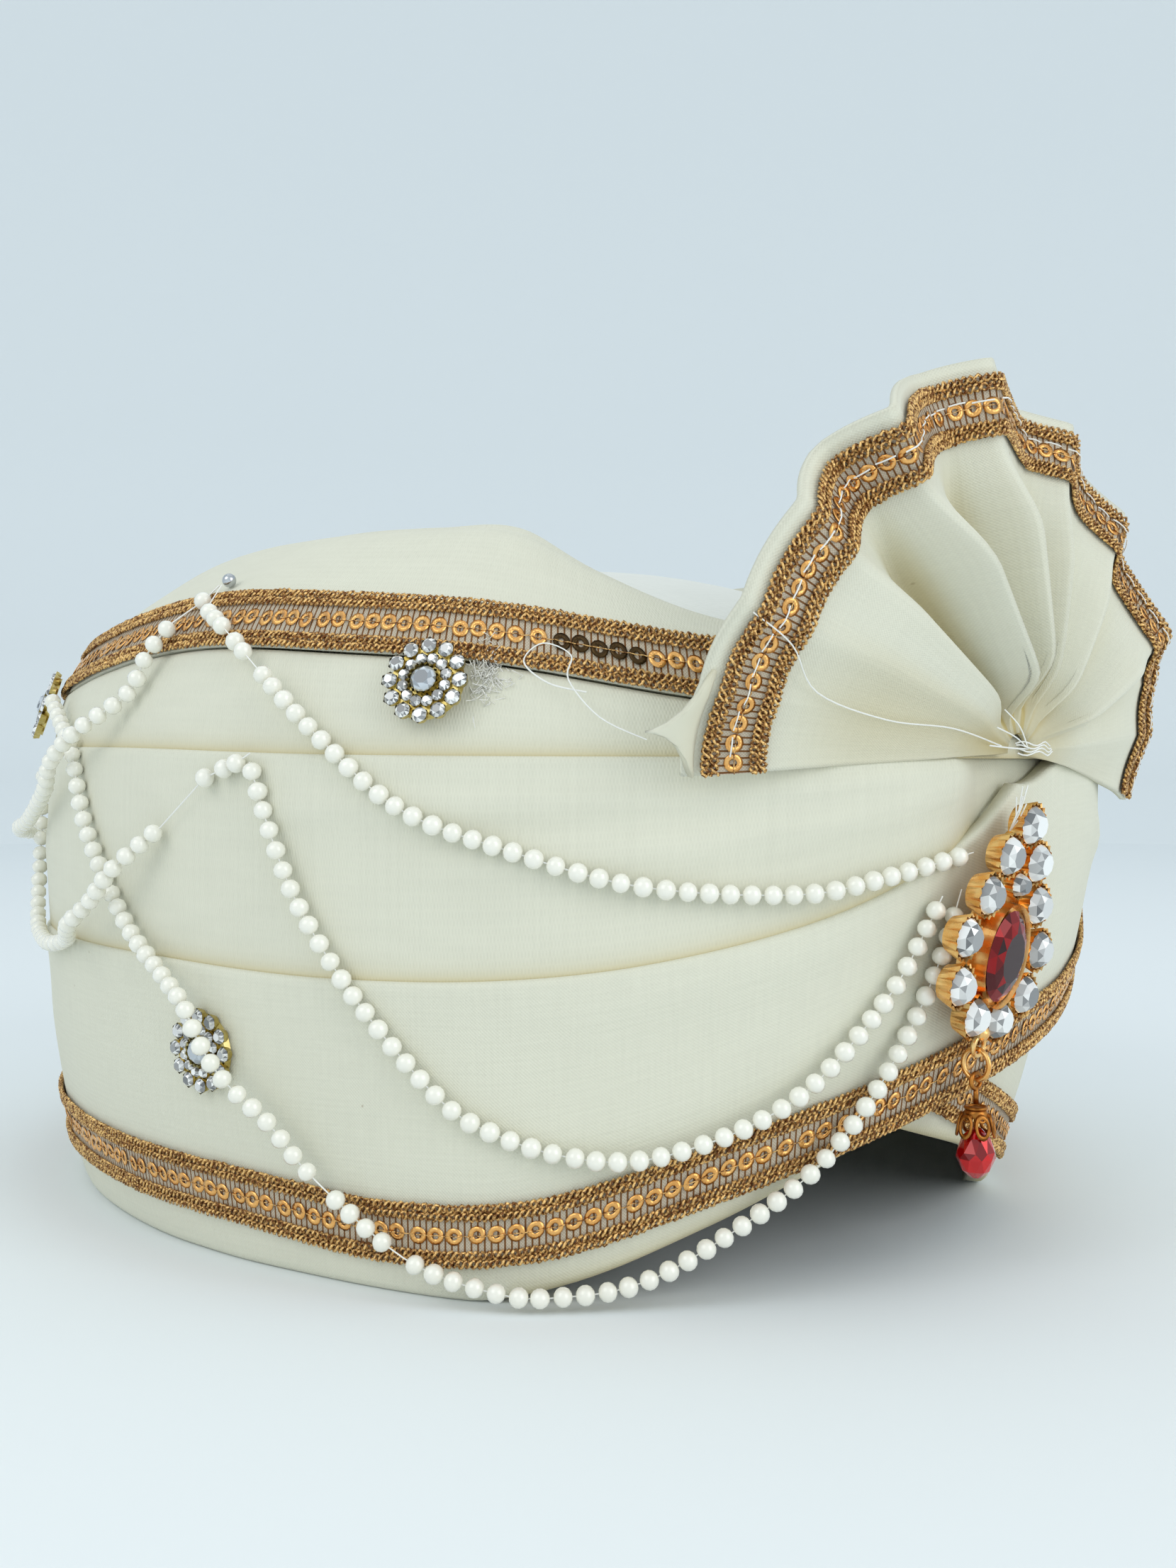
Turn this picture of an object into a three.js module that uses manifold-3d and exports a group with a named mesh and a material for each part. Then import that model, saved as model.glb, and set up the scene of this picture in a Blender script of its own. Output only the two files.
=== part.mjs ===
// A ready-tied wedding turban (pagri): ivory cloth wound round an open head hollow, gold sequin
// trims, a pleated fan at the front, a stone brooch with a hanging drop, and strings of pearls.
// Millimetres, +Z up. The wearer faces -Y and the rim stands on z = 0. Angles are degrees round
// the axis from the front, positive towards the wearer's left.
import * as THREE from "three";
import { mergeVertices } from "three/addons/utils/BufferGeometryUtils.js";
import Module from "manifold-3d";

const wasm = await Module();
wasm.setup();

// Driving dimensions
const HALF_WIDTH = 109; // axis to the widest side
const HALF_DEPTH = 121.5; // axis to the front and to the back
const WALL = 8; // wound cloth wall
const LAYER = 2.6; // single wrap laid over another
const GAP = 0.4; // clearance between neighbouring wraps
const FOLD = { drop: 0.8, height: 1.6 }; // rounded fold along a wrap's edge
const STEP = 10; // degrees between sections round the axis
const BACK_SEAM = 179.8; // where the far wrap ends against the near one at the back
const SHOULDER = { height: 78, span: 30, share: 0.067, power: 2.37 };
const CROWN = { top: 129.5, rim: 94, cloth: 2.5, rings: 4 };
const TRIM = { width: 10.4, thickness: 1.2, lift: 0.4 };
const PEARL = { diameter: 3.4, sides: 8, step: 10.5, clearance: 0.4 };
const FAN = { knot: [-1.5, -122.4, 88.7], proud: 2.8, reach: 66, cloth: 1.5, border: 2.6, hub: 0.05 };
const BROOCH = { across: -9.1, out: 121.75, height: 55.2, turn: 6.6, tilt: 9.3, lean: -9.5 };
const CUP = { diameter: 7.6, height: 3.2, wall: 0.7, floor: 1.7, plate: 1 };
const RUBY = { width: 12, height: 16, bezel: 1, seat: 2.4, rise: 3.6 };
const LOOP = { below: 15.6, forward: 2.6, radius: 1.7, wire: 0.45 };
const JUMP_RING = { radius: 2.6, wire: 0.45, play: 0.25 };
const DROP = { eye: 1.3, wire: 0.4, capTop: 8.6, capRadius: 3.3, beadTop: 12.4, beadRadius: 3.3, tip: 20.5 };
const BUTTON = { radius: 7.2, base: 1.4, centre: 2.3, inner: 3.7, outer: 6, small: 1.05, stones: 12 };

const radians = THREE.MathUtils.degToRad;

// A table of rows by angle, read smoothly between the rows as an object of its named columns.
function table(columns, rows) {
  const names = columns.slice(1);
  const angles = rows.map((row) => row[0]);
  const values = rows.flatMap((row) => row.slice(1));
  const spline = new THREE.CubicInterpolant(angles, values, names.length, new Float64Array(names.length));
  return (angle) => {
    const found = spline.evaluate(angle);
    return Object.fromEntries(names.map((name, i) => [name, found[i]]));
  };
}

// How full the wall is, how far it tucks in below, where that begins and how it bends.
const skirt = table(["angle", "full", "tuck", "bend", "power"], [
  [-180, 1, 0.1, 61, 2.5],
  [-150, 1.014, 0.08, 61, 2.5],
  [-113, 1.022, 0.065, 61, 2.5],
  [-63, 1.002, 0.035, 61, 2.5],
  [-45, 1, 0.01, 61, 2.5],
  [-15, 1, 0.08, 70, 1.6],
  [0, 1, 0.12, 72, 1.5],
  [33, 0.974, 0.16, 75, 1.3],
  [65, 0.985, 0.1, 68, 2],
  [107, 1, 0.12, 61, 2.5],
  [180, 1, 0.1, 61, 2.5],
]);

// Fold lines between the wraps and the middle lines of the trims.
const foldA = table(["angle", "height"], [
  [0, 88], [60, 88.5], [90, 90], [180, 90],
]);
const foldB = table(["angle", "height"], [
  [0, 82], [8, 72], [14, 66], [21, 61], [34, 55], [45, 52.4], [60, 51.6], [82, 52.7], [180, 52],
]);
const upperTrimLine = table(["angle", "height"], [
  [0, 97], [28, 102], [46, 108], [60, 110.5], [80, 112.5], [115, 106.5], [180, 103],
]);
const lowerTrimLine = table(["angle", "height"], [
  [-180, 13], [-112, 13.5], [-72, 12.5], [-54, 10.5], [-42, 12.6], [-27, 22], [-11, 31.3], [0, 37.5],
  [33, 51], [52, 62], [80, 83],
]);
const lowerEdge = table(["angle", "height"], [
  [-180, 0], [-60, 0], [-47, 0], [-39, 3.5], [-28, 12], [-12, 25], [0, 31.5], [33, 45], [52, 56], [80, 77],
]);
const farTrimLine = table(["angle", "height"], [
  [-10, 31], [-5, 28], [12, 18], [28, 10.5], [45, 10], [72, 12.5], [112, 13.5], [180, 13],
]);
const farEdge = table(["angle", "height"], [
  [-10, 25], [-5, 22], [12, 12], [27, 0], [45, 0], [180, 0],
]);
const rollEdge = table(["angle", "radius", "height"], [
  [0, 110, 104], [25, 94, 111], [36, 78, 120], [46, 64, 129], [60, 60, 130.5], [90, 58, 131], [180, 58, 130],
]);

function bodyRadius(angle, height) {
  const across = HALF_WIDTH * Math.cos(radians(angle));
  const along = HALF_DEPTH * Math.sin(radians(angle));
  const plan = (HALF_WIDTH * HALF_DEPTH) / Math.hypot(across, along);
  const { full, tuck, bend, power } = skirt(angle);
  const under = Math.max(0, bend - height) / bend;
  const over = Math.max(0, height - SHOULDER.height) / SHOULDER.span;
  return plan * full * (1 - tuck * under ** power - SHOULDER.share * over ** SHOULDER.power);
}

function at(angle, radius, height) {
  const x = radius * Math.sin(radians(angle));
  const y = -radius * Math.cos(radians(angle));
  return new THREE.Vector3(x, y, height);
}

function onBody(angle, height, out = 0) {
  return at(angle, bodyRadius(angle, height) + out, height);
}

function crownHeight(angle, radius) {
  const share = radius / crownRim(angle);
  return CROWN.top - (CROWN.top - CROWN.rim) * share ** 2;
}

function crownRim(angle) {
  return bodyRadius(angle, CROWN.rim) - WALL - 2 * GAP;
}

// Geometry helpers: every piece is a closed mesh whose faces point out.
function closed(vertices, triangles) {
  const geometry = new THREE.BufferGeometry();
  const numbers = vertices.flatMap((vertex) => vertex.toArray());
  geometry.setAttribute("position", new THREE.Float32BufferAttribute(numbers, 3));
  let volume = 0;
  for (const [a, b, c] of triangles) {
    volume += vertices[a].dot(new THREE.Vector3().crossVectors(vertices[b], vertices[c]));
  }
  geometry.setIndex(triangles.flatMap(([a, b, c]) => (volume < 0 ? [a, c, b] : [a, b, c])));
  return geometry;
}

// Skins a row of like sections. Each section is an outer run of points and an inner run beside it.
function loft(sections, ring = false) {
  const { outer, inner } = sections[0];
  const count = outer.length + inner.length;
  const vertices = sections.flatMap((section) => [...section.outer, ...[...section.inner].reverse()]);
  const triangles = [];
  const quad = (a, b, c, d) => triangles.push([a, b, c], [a, c, d]);
  const spans = ring ? sections.length : sections.length - 1;
  for (let i = 0; i < spans; i++) {
    const here = i * count;
    const next = ((i + 1) % sections.length) * count;
    for (let j = 0; j < count; j++) {
      const k = (j + 1) % count;
      quad(here + j, next + j, next + k, here + k);
    }
  }
  if (!ring) {
    const last = (sections.length - 1) * count;
    for (let j = 0; j < outer.length - 1; j++) {
      const here = count - 1 - Math.min(j, inner.length - 1);
      const next = count - 1 - Math.min(j + 1, inner.length - 1);
      triangles.push([j, j + 1, next], [last + j, last + next, last + j + 1]);
      if (next !== here) triangles.push([j, next, here], [last + j, last + here, last + next]);
    }
  }
  return closed(vertices, triangles);
}

function fuse(geometries) {
  const solids = geometries.map((geometry) => {
    const bare = geometry.clone();
    bare.deleteAttribute("normal");
    bare.deleteAttribute("uv");
    const merged = mergeVertices(bare, 1e-4);
    const vertProperties = merged.getAttribute("position").array;
    const triVerts = new Uint32Array(merged.index.array);
    return new wasm.Manifold(new wasm.Mesh({ numProp: 3, vertProperties, triVerts }));
  });
  const mesh = solids.reduce((all, solid) => all.add(solid)).getMesh();
  const geometry = new THREE.BufferGeometry();
  geometry.setAttribute("position", new THREE.BufferAttribute(mesh.vertProperties, 3));
  geometry.setIndex(new THREE.BufferAttribute(mesh.triVerts, 1));
  return geometry;
}

function lathe(profile, sides) {
  const points = profile.map(([radius, height]) => new THREE.Vector2(radius, height));
  return new THREE.LatheGeometry(points, sides).rotateX(Math.PI / 2);
}

function wireRing(radius, wire, sides = 14) {
  return new THREE.TorusGeometry(radius, wire, 6, sides);
}

// A cut stone about +Z: flat table, sloping crown facets, girdle and a flat back.
function cutStone(radius, crownRise, depth, sides = 8) {
  const back = radius * 0.7;
  const flat = radius * 0.55;
  return lathe([[0, -depth], [back, -depth], [radius, 0], [flat, crownRise], [0, crownRise]], sides);
}

// Materials
function finish(color, roughness, metalness = 0) {
  return new THREE.MeshStandardMaterial({ color, roughness, metalness });
}

const CLOTH = finish(0xeef0de, 0.85);
const CROWN_CLOTH = finish(0xe6e8e2, 0.9);
const BRAID = finish(0xb08650, 0.45, 0.7);
const GOLD = finish(0xcd9146, 0.3, 1);
const PALE_GOLD = finish(0xd2c07a, 0.3, 1);
const CLEAR_STONE = finish(0xdfe4e6, 0.05);
const RED_STONE = finish(0x6e0a10, 0.05);
const PEARL_COAT = finish(0xecece4, 0.25);
const STEEL = finish(0xc8ccd0, 0.25, 1);

const pagri = new THREE.Group();
const body = new THREE.Group();
pagri.add(body);

function add(name, geometry, material, parent = body) {
  const mesh = new THREE.Mesh(geometry, material);
  mesh.name = name;
  parent.add(mesh);
  return mesh;
}

// Even stations from one angle to another, about a step apart.
function angles(from, to) {
  const count = Math.round((to - from) / STEP);
  return Array.from({ length: count + 1 }, (_, i) => from + ((to - from) * i) / count);
}

// Wound wraps: each is a wall between a lower and an upper line, with a rounded fold at both edges.
const TALL_ROWS = 5;
const SHORT_ROWS = 4;

function wrapSection(angle, lower, upper, inset, thickness, rows, innerRows) {
  const lip = Math.min(FOLD.height, (upper - lower) / 4);
  const outer = [];
  for (let row = 0; row <= rows; row++) {
    const edge = row === 0 || row === rows;
    const share = THREE.MathUtils.clamp((row - 1) / (rows - 2), 0, 1);
    const full = lower + lip + share * (upper - lower - 2 * lip);
    const height = row === 0 ? lower : row === rows ? upper : full;
    outer.push(onBody(angle, height, -inset - (edge ? FOLD.drop : 0)));
  }
  const inner = Array.from({ length: innerRows + 1 }, (_, row) => {
    return onBody(angle, THREE.MathUtils.lerp(lower, upper, row / innerRows), -inset - thickness);
  });
  return { outer, inner };
}

const ramp = (value, from, to) => THREE.MathUtils.smoothstep(value, from, to);
const round = angles(-180, 180 - STEP);
const half = TRIM.width / 2;
const side = (angle) => Math.abs(angle);

// The near wrap crosses over the far one at the front, so those beneath it lie one layer deeper.
const UNDER = LAYER + 2 * GAP;
const beneath = (angle) => UNDER * ramp(angle, -8, -2) * (1 - ramp(angle, 80, 95));

function nearTop(angle) {
  const overKnot = ramp(angle, -4, 8) * (foldA(side(angle)).height - foldB(side(angle)).height);
  return foldB(side(angle)).height + overKnot - GAP / 2;
}

const lowerBand = angles(-180, 80).map((angle) => {
  const thickness = THREE.MathUtils.lerp(WALL, LAYER, ramp(angle, -30, -15));
  const lower = Math.max(0, lowerEdge(angle).height);
  const upper = Math.max(nearTop(angle), lower + 4);
  return wrapSection(angle, lower, upper, 0, thickness, TALL_ROWS, TALL_ROWS);
});
add("lower_band", loft(lowerBand), CLOTH);

const farBand = angles(-10, BACK_SEAM).map((angle) => {
  const inset = angle < 0 ? UNDER : beneath(angle);
  const lower = Math.max(0, farEdge(angle).height);
  return wrapSection(angle, lower, foldB(side(angle)).height - GAP / 2, inset, WALL - inset, TALL_ROWS, 2);
});
add("far_band", loft(farBand), CLOTH);

const middleBand = round.map((angle) => {
  const inset = beneath(angle);
  const lower = angle > 0 ? foldB(side(angle)).height + GAP / 2 : nearTop(angle) + GAP;
  return wrapSection(angle, lower, foldA(side(angle)).height - GAP / 2, inset, WALL - inset, SHORT_ROWS, 2);
});
add("middle_band", loft(middleBand, true), CLOTH);

const rollFoot = (angle) => upperTrimLine(side(angle)).height - half;
const upperBand = round.map((angle) => {
  const lower = foldA(side(angle)).height + GAP / 2;
  return wrapSection(angle, lower, rollFoot(angle) - GAP / 2, 0, WALL, SHORT_ROWS, 2);
});
add("upper_band", loft(upperBand, true), CLOTH);

// The top roll: a padded wrap that stands over the crown at the sides and back, and thins to the front.
const topRoll = round.map((angle) => {
  const foot = rollFoot(angle) + GAP / 2;
  const edge = rollEdge(side(angle));
  const wall = bodyRadius(angle, foot) - WALL;
  const brow = foot + TRIM.width;
  const start = onBody(angle, brow);
  const rim = at(angle, edge.radius, edge.height);
  const shoulder = at(angle, THREE.MathUtils.lerp(bodyRadius(angle, brow), edge.radius, 0.42), 0);
  shoulder.z = THREE.MathUtils.lerp(brow, edge.height, 0.72);
  const crest = at(angle, THREE.MathUtils.lerp(bodyRadius(angle, brow), edge.radius, 0.75), 0);
  crest.z = THREE.MathUtils.lerp(brow, edge.height, 0.97);
  const outer = [onBody(angle, foot), onBody(angle, foot + half), start, shoulder, crest, rim];
  const lip = Math.min(edge.radius + 1.5, wall - 1);
  const inner = [0, 0.2, 0.4, 0.7, 1].map((share) => {
    const radius = THREE.MathUtils.lerp(wall, lip, share);
    const onCrown = crownHeight(angle, Math.min(radius, crownRim(angle))) + 2 * GAP;
    const under = Math.max(onCrown, foot * (1 - share) ** 4);
    return at(angle, radius, Math.min(share === 0 ? foot : under, edge.height - 1));
  });
  return { outer, inner };
});
add("top_roll", loft(topRoll, true), CLOTH);

// The crown: a thin dome of cloth that closes the top inside the roll.
const crownRings = Array.from({ length: CROWN.rings }, (_, i) => (i + 1) / CROWN.rings);
const dome = [];
const domeFaces = [];
for (const drop of [0, CROWN.cloth]) {
  dome.push(new THREE.Vector3(0, 0, CROWN.top - drop));
  for (const share of crownRings) {
    for (const angle of round) {
      const radius = share * crownRim(angle);
      dome.push(at(angle, radius, crownHeight(angle, radius) - drop));
    }
  }
}
const domeSize = 1 + crownRings.length * round.length;
const domeIndex = (layer, ring, i) => layer * domeSize + 1 + ring * round.length + (i % round.length);
for (let i = 0; i < round.length; i++) {
  domeFaces.push([0, domeIndex(0, 0, i), domeIndex(0, 0, i + 1)]);
  domeFaces.push([domeSize, domeIndex(1, 0, i + 1), domeIndex(1, 0, i)]);
  for (let ring = 0; ring < crownRings.length - 1; ring++) {
    const top = [[0, ring, i], [0, ring + 1, i], [0, ring + 1, i + 1], [0, ring, i + 1]];
    const corners = top.map(([layer, r, k]) => domeIndex(layer, r, k));
    const below = top.map(([, r, k]) => domeIndex(1, r, k));
    domeFaces.push([corners[0], corners[1], corners[2]], [corners[0], corners[2], corners[3]]);
    domeFaces.push([below[0], below[2], below[1]], [below[0], below[3], below[2]]);
  }
  const rim = crownRings.length - 1;
  const [a, b] = [domeIndex(0, rim, i), domeIndex(0, rim, i + 1)];
  const [c, d] = [domeIndex(1, rim, i + 1), domeIndex(1, rim, i)];
  domeFaces.push([a, d, c], [a, c, b]);
}
add("crown", closed(dome, domeFaces), CROWN_CLOTH);

// Sequin trims: flat braids sewn along a middle line on the cloth.
function trimSection(angle, middle, inset = 0) {
  const heights = [middle - half, middle, middle + half];
  const outer = heights.map((height) => onBody(angle, height, TRIM.lift + TRIM.thickness - inset));
  const inner = heights.map((height) => onBody(angle, height, TRIM.lift - inset));
  return { outer, inner };
}

const upperTrim = round.map((angle) => trimSection(angle, upperTrimLine(side(angle)).height + GAP));
add("upper_trim", loft(upperTrim, true), BRAID);
const lowerTrim = angles(-180, 80).map((angle) => trimSection(angle, lowerTrimLine(angle).height));
add("lower_trim", loft(lowerTrim), BRAID);
const farTrim = angles(10, BACK_SEAM).map((angle) => {
  return trimSection(angle, farTrimLine(angle).height, beneath(angle));
});
add("far_trim", loft(farTrim), BRAID);

// The fan: one pleated cloth gathered at the knot. Each row is a fold line: its direction in the
// fan seen from the front, and how far its outer end lies behind the knot.
const PLEATS = [
  [184, 20], [171, 15], [160, 8], [145, 3], [134, 8], [128, -4], [108, 9], [99, 1], [77, 15],
  [67, 9.5], [57, 15], [45, 11], [38, 16], [22, 10], [15, 14.5], [4, 17], [-9, 21],
].map(([direction, back]) => ({ direction, back }));

function fanPoint({ direction, back }, share, front) {
  const flat = Math.sqrt(FAN.reach ** 2 - back ** 2) * share;
  const proud = FAN.proud * ramp(share, FAN.hub, 0.3);
  const [x, y, z] = FAN.knot;
  const across = flat * Math.cos(radians(direction));
  const up = flat * Math.sin(radians(direction));
  return new THREE.Vector3(x + across, y - proud + back * share ** 2 - front, z + up);
}

function fanSection(pleat, stations, front, backside) {
  return {
    outer: stations.map((share) => fanPoint(pleat, share, front)),
    inner: stations.map((share) => fanPoint(pleat, share, backside)),
  };
}

const fanTrimEdge = 1 - FAN.border / FAN.reach;
const fanTrimShares = [1, 0.5, 0].map((share) => fanTrimEdge - (share * TRIM.width) / FAN.reach);
const fanStations = [FAN.hub, 0.16, 0.45, ...fanTrimShares, 1];
add("fan", loft(PLEATS.map((pleat) => fanSection(pleat, fanStations, FAN.cloth / 2, -FAN.cloth / 2))), CLOTH);
const fanTrimBack = FAN.cloth / 2 + TRIM.lift;
add("fan_trim", loft(PLEATS.map((pleat) => {
  return fanSection(pleat, fanTrimShares, fanTrimBack + TRIM.thickness, fanTrimBack);
})), BRAID);

// The brooch: stones in soldered cups round an oval red stone, leaning with the cloth behind it.
const brooch = new THREE.Group();
brooch.position.set(BROOCH.across, -BROOCH.out, BROOCH.height);
brooch.rotateZ(radians(BROOCH.turn));
brooch.rotateX(radians(90 + BROOCH.tilt));
brooch.rotateZ(radians(BROOCH.lean));
body.add(brooch);

const STONES = [
  [0, 22.3, 1], [-5, 16.4, 1], [5, 16.4, 1], [0, 12.1, 0.66], [-8.5, 9.4, 1], [8.5, 9.4, 1],
  [-12.6, 1.9, 1], [12.6, 1.9, 1], [-11, -6.1, 1], [11, -6.1, 1], [-4, -10.9, 1], [4, -10.9, 1],
].map(([x, y, scale]) => ({ x, y, radius: (CUP.diameter / 2) * scale }));

function cup({ x, y, radius }) {
  const bowl = radius - CUP.wall;
  const profile = [
    [0, 0], [radius, 0], [radius, CUP.height], [bowl, CUP.height], [bowl, CUP.floor], [0, CUP.floor],
  ];
  return lathe(profile, 10).translate(x, y, 0);
}

const bezelOuter = 1 + (2 * RUBY.bezel) / RUBY.width;
const bezelProfile = [[0, 0], [bezelOuter, 0], [bezelOuter, 4], [1.03, 4], [1.03, RUBY.seat], [0, RUBY.seat]];
const bezel = lathe(bezelProfile, 20).scale(RUBY.width / 2, RUBY.height / 2, 1);
const plate = (radius) => lathe([[0, 0], [radius, 0], [radius, CUP.plate], [0, CUP.plate]], 16);
const ovalPlate = plate(1.65).scale(RUBY.width / 2, RUBY.height / 2, 1);
const topPlate = plate(4.6).translate(0, 16.6, 0);
const solder = new THREE.SphereGeometry(1.45, 8, 5).translate(0, 2.2 - LOOP.below, LOOP.forward);
const hangLoop = wireRing(LOOP.radius, LOOP.wire).translate(0, -LOOP.below, LOOP.forward);
const setting = fuse([ovalPlate, topPlate, bezel, ...STONES.map(cup), solder, hangLoop]);
add("brooch_setting", setting, GOLD, brooch);

const rubyProfile = [
  [0, 0.3], [0.9, 0.3], [0.97, 1.2], [0.97, 1.8], [0.78, 2.9], [0.5, RUBY.rise], [0, RUBY.rise],
];
const ruby = lathe(rubyProfile, 16).scale(RUBY.width / 2, RUBY.height / 2, 1);
add("red_stone", ruby.translate(0, 0, RUBY.seat), RED_STONE, brooch);
STONES.forEach(({ x, y, radius }, i) => {
  const stone = cutStone(radius - CUP.wall - 0.25, 1.5, 1.2).translate(x, y, CUP.height);
  add(`clear_stone_${String(i + 1).padStart(2, "0")}`, stone, CLEAR_STONE, brooch);
});

// The drop: a jump ring in the brooch's loop, an eye with a bell cap, and a red faceted bead.
brooch.updateMatrix();
const pivot = new THREE.Vector3(0, -LOOP.below - LOOP.radius, LOOP.forward).applyMatrix4(brooch.matrix);
const drop = new THREE.Group();
drop.position.copy(pivot);
body.add(drop);
const ringTop = LOOP.wire + JUMP_RING.wire + JUMP_RING.play;
const ringMiddle = ringTop - JUMP_RING.radius;
const jumpRing = wireRing(JUMP_RING.radius, JUMP_RING.wire, 16).rotateY(Math.PI / 2);
add("jump_ring", jumpRing.translate(0, 0, ringMiddle), GOLD, drop);
const eyeTop = ringMiddle - JUMP_RING.radius + JUMP_RING.wire + DROP.wire + JUMP_RING.play;
const eyeMiddle = eyeTop - DROP.eye;
const eye = wireRing(DROP.eye, DROP.wire, 12).rotateX(Math.PI / 2).translate(0, 0, eyeMiddle);
const stemTop = eyeMiddle - DROP.eye;
const capFoot = DROP.beadTop + 1.2;
const cap = lathe([
  [0, -capFoot + 1.9], [DROP.capRadius - 0.9, -capFoot + 0.9], [DROP.capRadius - 0.55, -capFoot],
  [DROP.capRadius + 0.1, -capFoot], [DROP.capRadius - 0.3, -capFoot + 2.4],
  [1, -DROP.capTop], [0.55, -DROP.capTop], [0.55, stemTop], [0, stemTop],
], 12);
add("drop_cap", fuse([eye, cap]), GOLD, drop);
const bead = lathe([
  [0, -DROP.tip], [1.1, -DROP.tip + 0.3], [DROP.beadRadius, -DROP.tip + 3.6],
  [DROP.beadRadius * 0.93, -DROP.tip + 4.6], [DROP.capRadius - 1.25, -capFoot + 0.4], [0, -capFoot + 1.3],
], 8);
add("drop_bead", bead, RED_STONE, drop);

// Rhinestone buttons glued on the cloth: a disc with a large stone and two rings of small ones.
function seat(angle, height, out) {
  const group = new THREE.Group();
  const across = onBody(angle + 1, height).sub(onBody(angle - 1, height)).normalize();
  const up = onBody(angle, height + 1).sub(onBody(angle, height - 1));
  const normal = new THREE.Vector3().crossVectors(across, up).normalize();
  up.crossVectors(normal, across);
  group.quaternion.setFromRotationMatrix(new THREE.Matrix4().makeBasis(across, up, normal));
  group.position.copy(onBody(angle, height)).addScaledVector(normal, out);
  body.add(group);
  return group;
}

function buttonGeometry() {
  const { radius, base, centre, inner, outer, small, stones } = BUTTON;
  const disc = lathe([[0, 0], [radius - 0.5, 0], [radius, 0.5], [radius - 0.2, base], [0, base]], 16);
  const parts = [disc, cutStone(centre, 1.5, 1).translate(0, 0, base + 0.4)];
  for (const [ring, turn] of [[inner, 0.5], [outer, 0]]) {
    for (let i = 0; i < stones; i++) {
      const angle = ((i + turn) / stones) * 2 * Math.PI;
      const size = ring === inner ? small * 0.85 : small;
      const stone = lathe([[0, -0.4], [size, -0.4], [size * 0.5, 0.9], [0, 0.9]], 8);
      parts.push(stone.translate(ring * Math.cos(angle), ring * Math.sin(angle), base));
    }
  }
  return fuse(parts);
}

const BUTTONS = [
  { name: "button_front", angle: -51, height: 99, out: 2 },
  { name: "button_side", angle: -74, height: 37.3, out: 0.5 },
  { name: "button_back", angle: -116, height: 98, out: 2 },
];
for (const { name, angle, height, out } of BUTTONS) {
  add(name, buttonGeometry(), PALE_GOLD, seat(angle, height, out));
}

// A steel pin's head holds the top garland above the upper trim.
const PIN = { radius: 1.3, angle: -81, height: 120, out: 0.8 };
const pinSeat = seat(PIN.angle, PIN.height, PIN.out);
add("pin_head", new THREE.SphereGeometry(PIN.radius, 8, 5), STEEL, pinSeat);

// Pearl strings lie on the cloth and step over the trims. Lift is for what they cross.
function overTrim(angle, height) {
  const lines = [upperTrimLine(side(angle)).height, lowerTrimLine(angle).height];
  const reach = half + PEARL.diameter;
  const near = Math.min(...lines.map((line) => Math.abs(height - line)));
  return (TRIM.thickness + TRIM.lift) * (1 - ramp(near, reach, reach + 5));
}

function pearlString(rows) {
  const out = PEARL.diameter / 2 + PEARL.clearance;
  const points = rows.map(([angle, height, lift = 0]) => {
    return onBody(angle, height, out + Math.max(lift, overTrim(angle, height)));
  });
  const curve = new THREE.CatmullRomCurve3(points, false, "centripetal");
  const corners = Array.from({ length: PEARL.sides }, (_, i) => {
    const angle = ((i + 0.5) / PEARL.sides) * 2 * Math.PI;
    return new THREE.Vector2(Math.cos(angle), Math.sin(angle)).multiplyScalar(PEARL.diameter / 2);
  });
  const steps = Math.round(curve.getLength() / PEARL.step);
  const sweep = { steps, extrudePath: curve, bevelEnabled: false };
  return new THREE.ExtrudeGeometry(new THREE.Shape(corners), sweep);
}

const CROSSING = PEARL.diameter + 0.5;
const OVER_BUTTON = 4.6;
const STRINGS = {
  pearls_top_front: [
    [-79, 114.5], [-74, 110], [-67.5, 102], [-61, 91.5], [-53, 79.5], [-44, 73], [-34, 67.5], [-22, 66],
    [-14.5, 68.5], [-6.5, 72],
  ],
  pearls_top_back: [
    [-83.5, 112.5], [-85, 107], [-87, 99.5], [-92, 92.5, CROSSING], [-97, 87, CROSSING],
    [-102, 81.5, CROSSING / 2], [-113, 75, CROSSING / 2], [-119, 73, CROSSING], [-126, 71.5, CROSSING],
    [-137, 70], [-148, 71], [-160, 74],
  ],
  pearls_middle_front: [
    [-67.8, 87], [-65, 73.5], [-62, 62], [-56.5, 47.5], [-49.5, 33], [-45, 28], [-40, 25.2], [-35, 24.5],
    [-30, 26.5], [-24.7, 30.5], [-20, 36.5], [-14, 49], [-10.8, 60], [-9.5, 65],
  ],
  pearls_middle_back: [
    [-79, 75.5], [-83.5, 68, CROSSING], [-87.5, 61.8, CROSSING], [-92, 57, CROSSING], [-98, 53], [-105, 51],
    [-113, 52.5], [-118, 58], [-121.5, 66], [-123.5, 76], [-123.5, 86],
  ],
  pearls_low: [
    [-109, 100], [-103, 94.5], [-97, 88.5], [-92.4, 74.4], [-84.7, 58.3], [-77.2, 50, OVER_BUTTON / 2],
    [-73.3, 46, OVER_BUTTON], [-71.5, 40, OVER_BUTTON], [-68.8, 34, OVER_BUTTON], [-65, 27, OVER_BUTTON / 2],
    [-61, 18.8], [-52.3, 7.2], [-44.5, 3], [-39.5, 2.7], [-34.5, 4], [-29.4, 8.7], [-20.8, 20.3],
    [-15.5, 32.3], [-11.5, 44], [-9.2, 55], [-7.6, 66],
  ],
};
for (const [name, rows] of Object.entries(STRINGS)) {
  add(name, pearlString(rows), PEARL_COAT);
}

// The origin lies on the floor below the middle of the whole object.
pagri.updateMatrixWorld(true);
const middle = new THREE.Box3().setFromObject(body, true).getCenter(new THREE.Vector3());
body.position.set(-middle.x, -middle.y, 0);

export default pagri;
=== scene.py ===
import bisect
import math
import random

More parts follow.
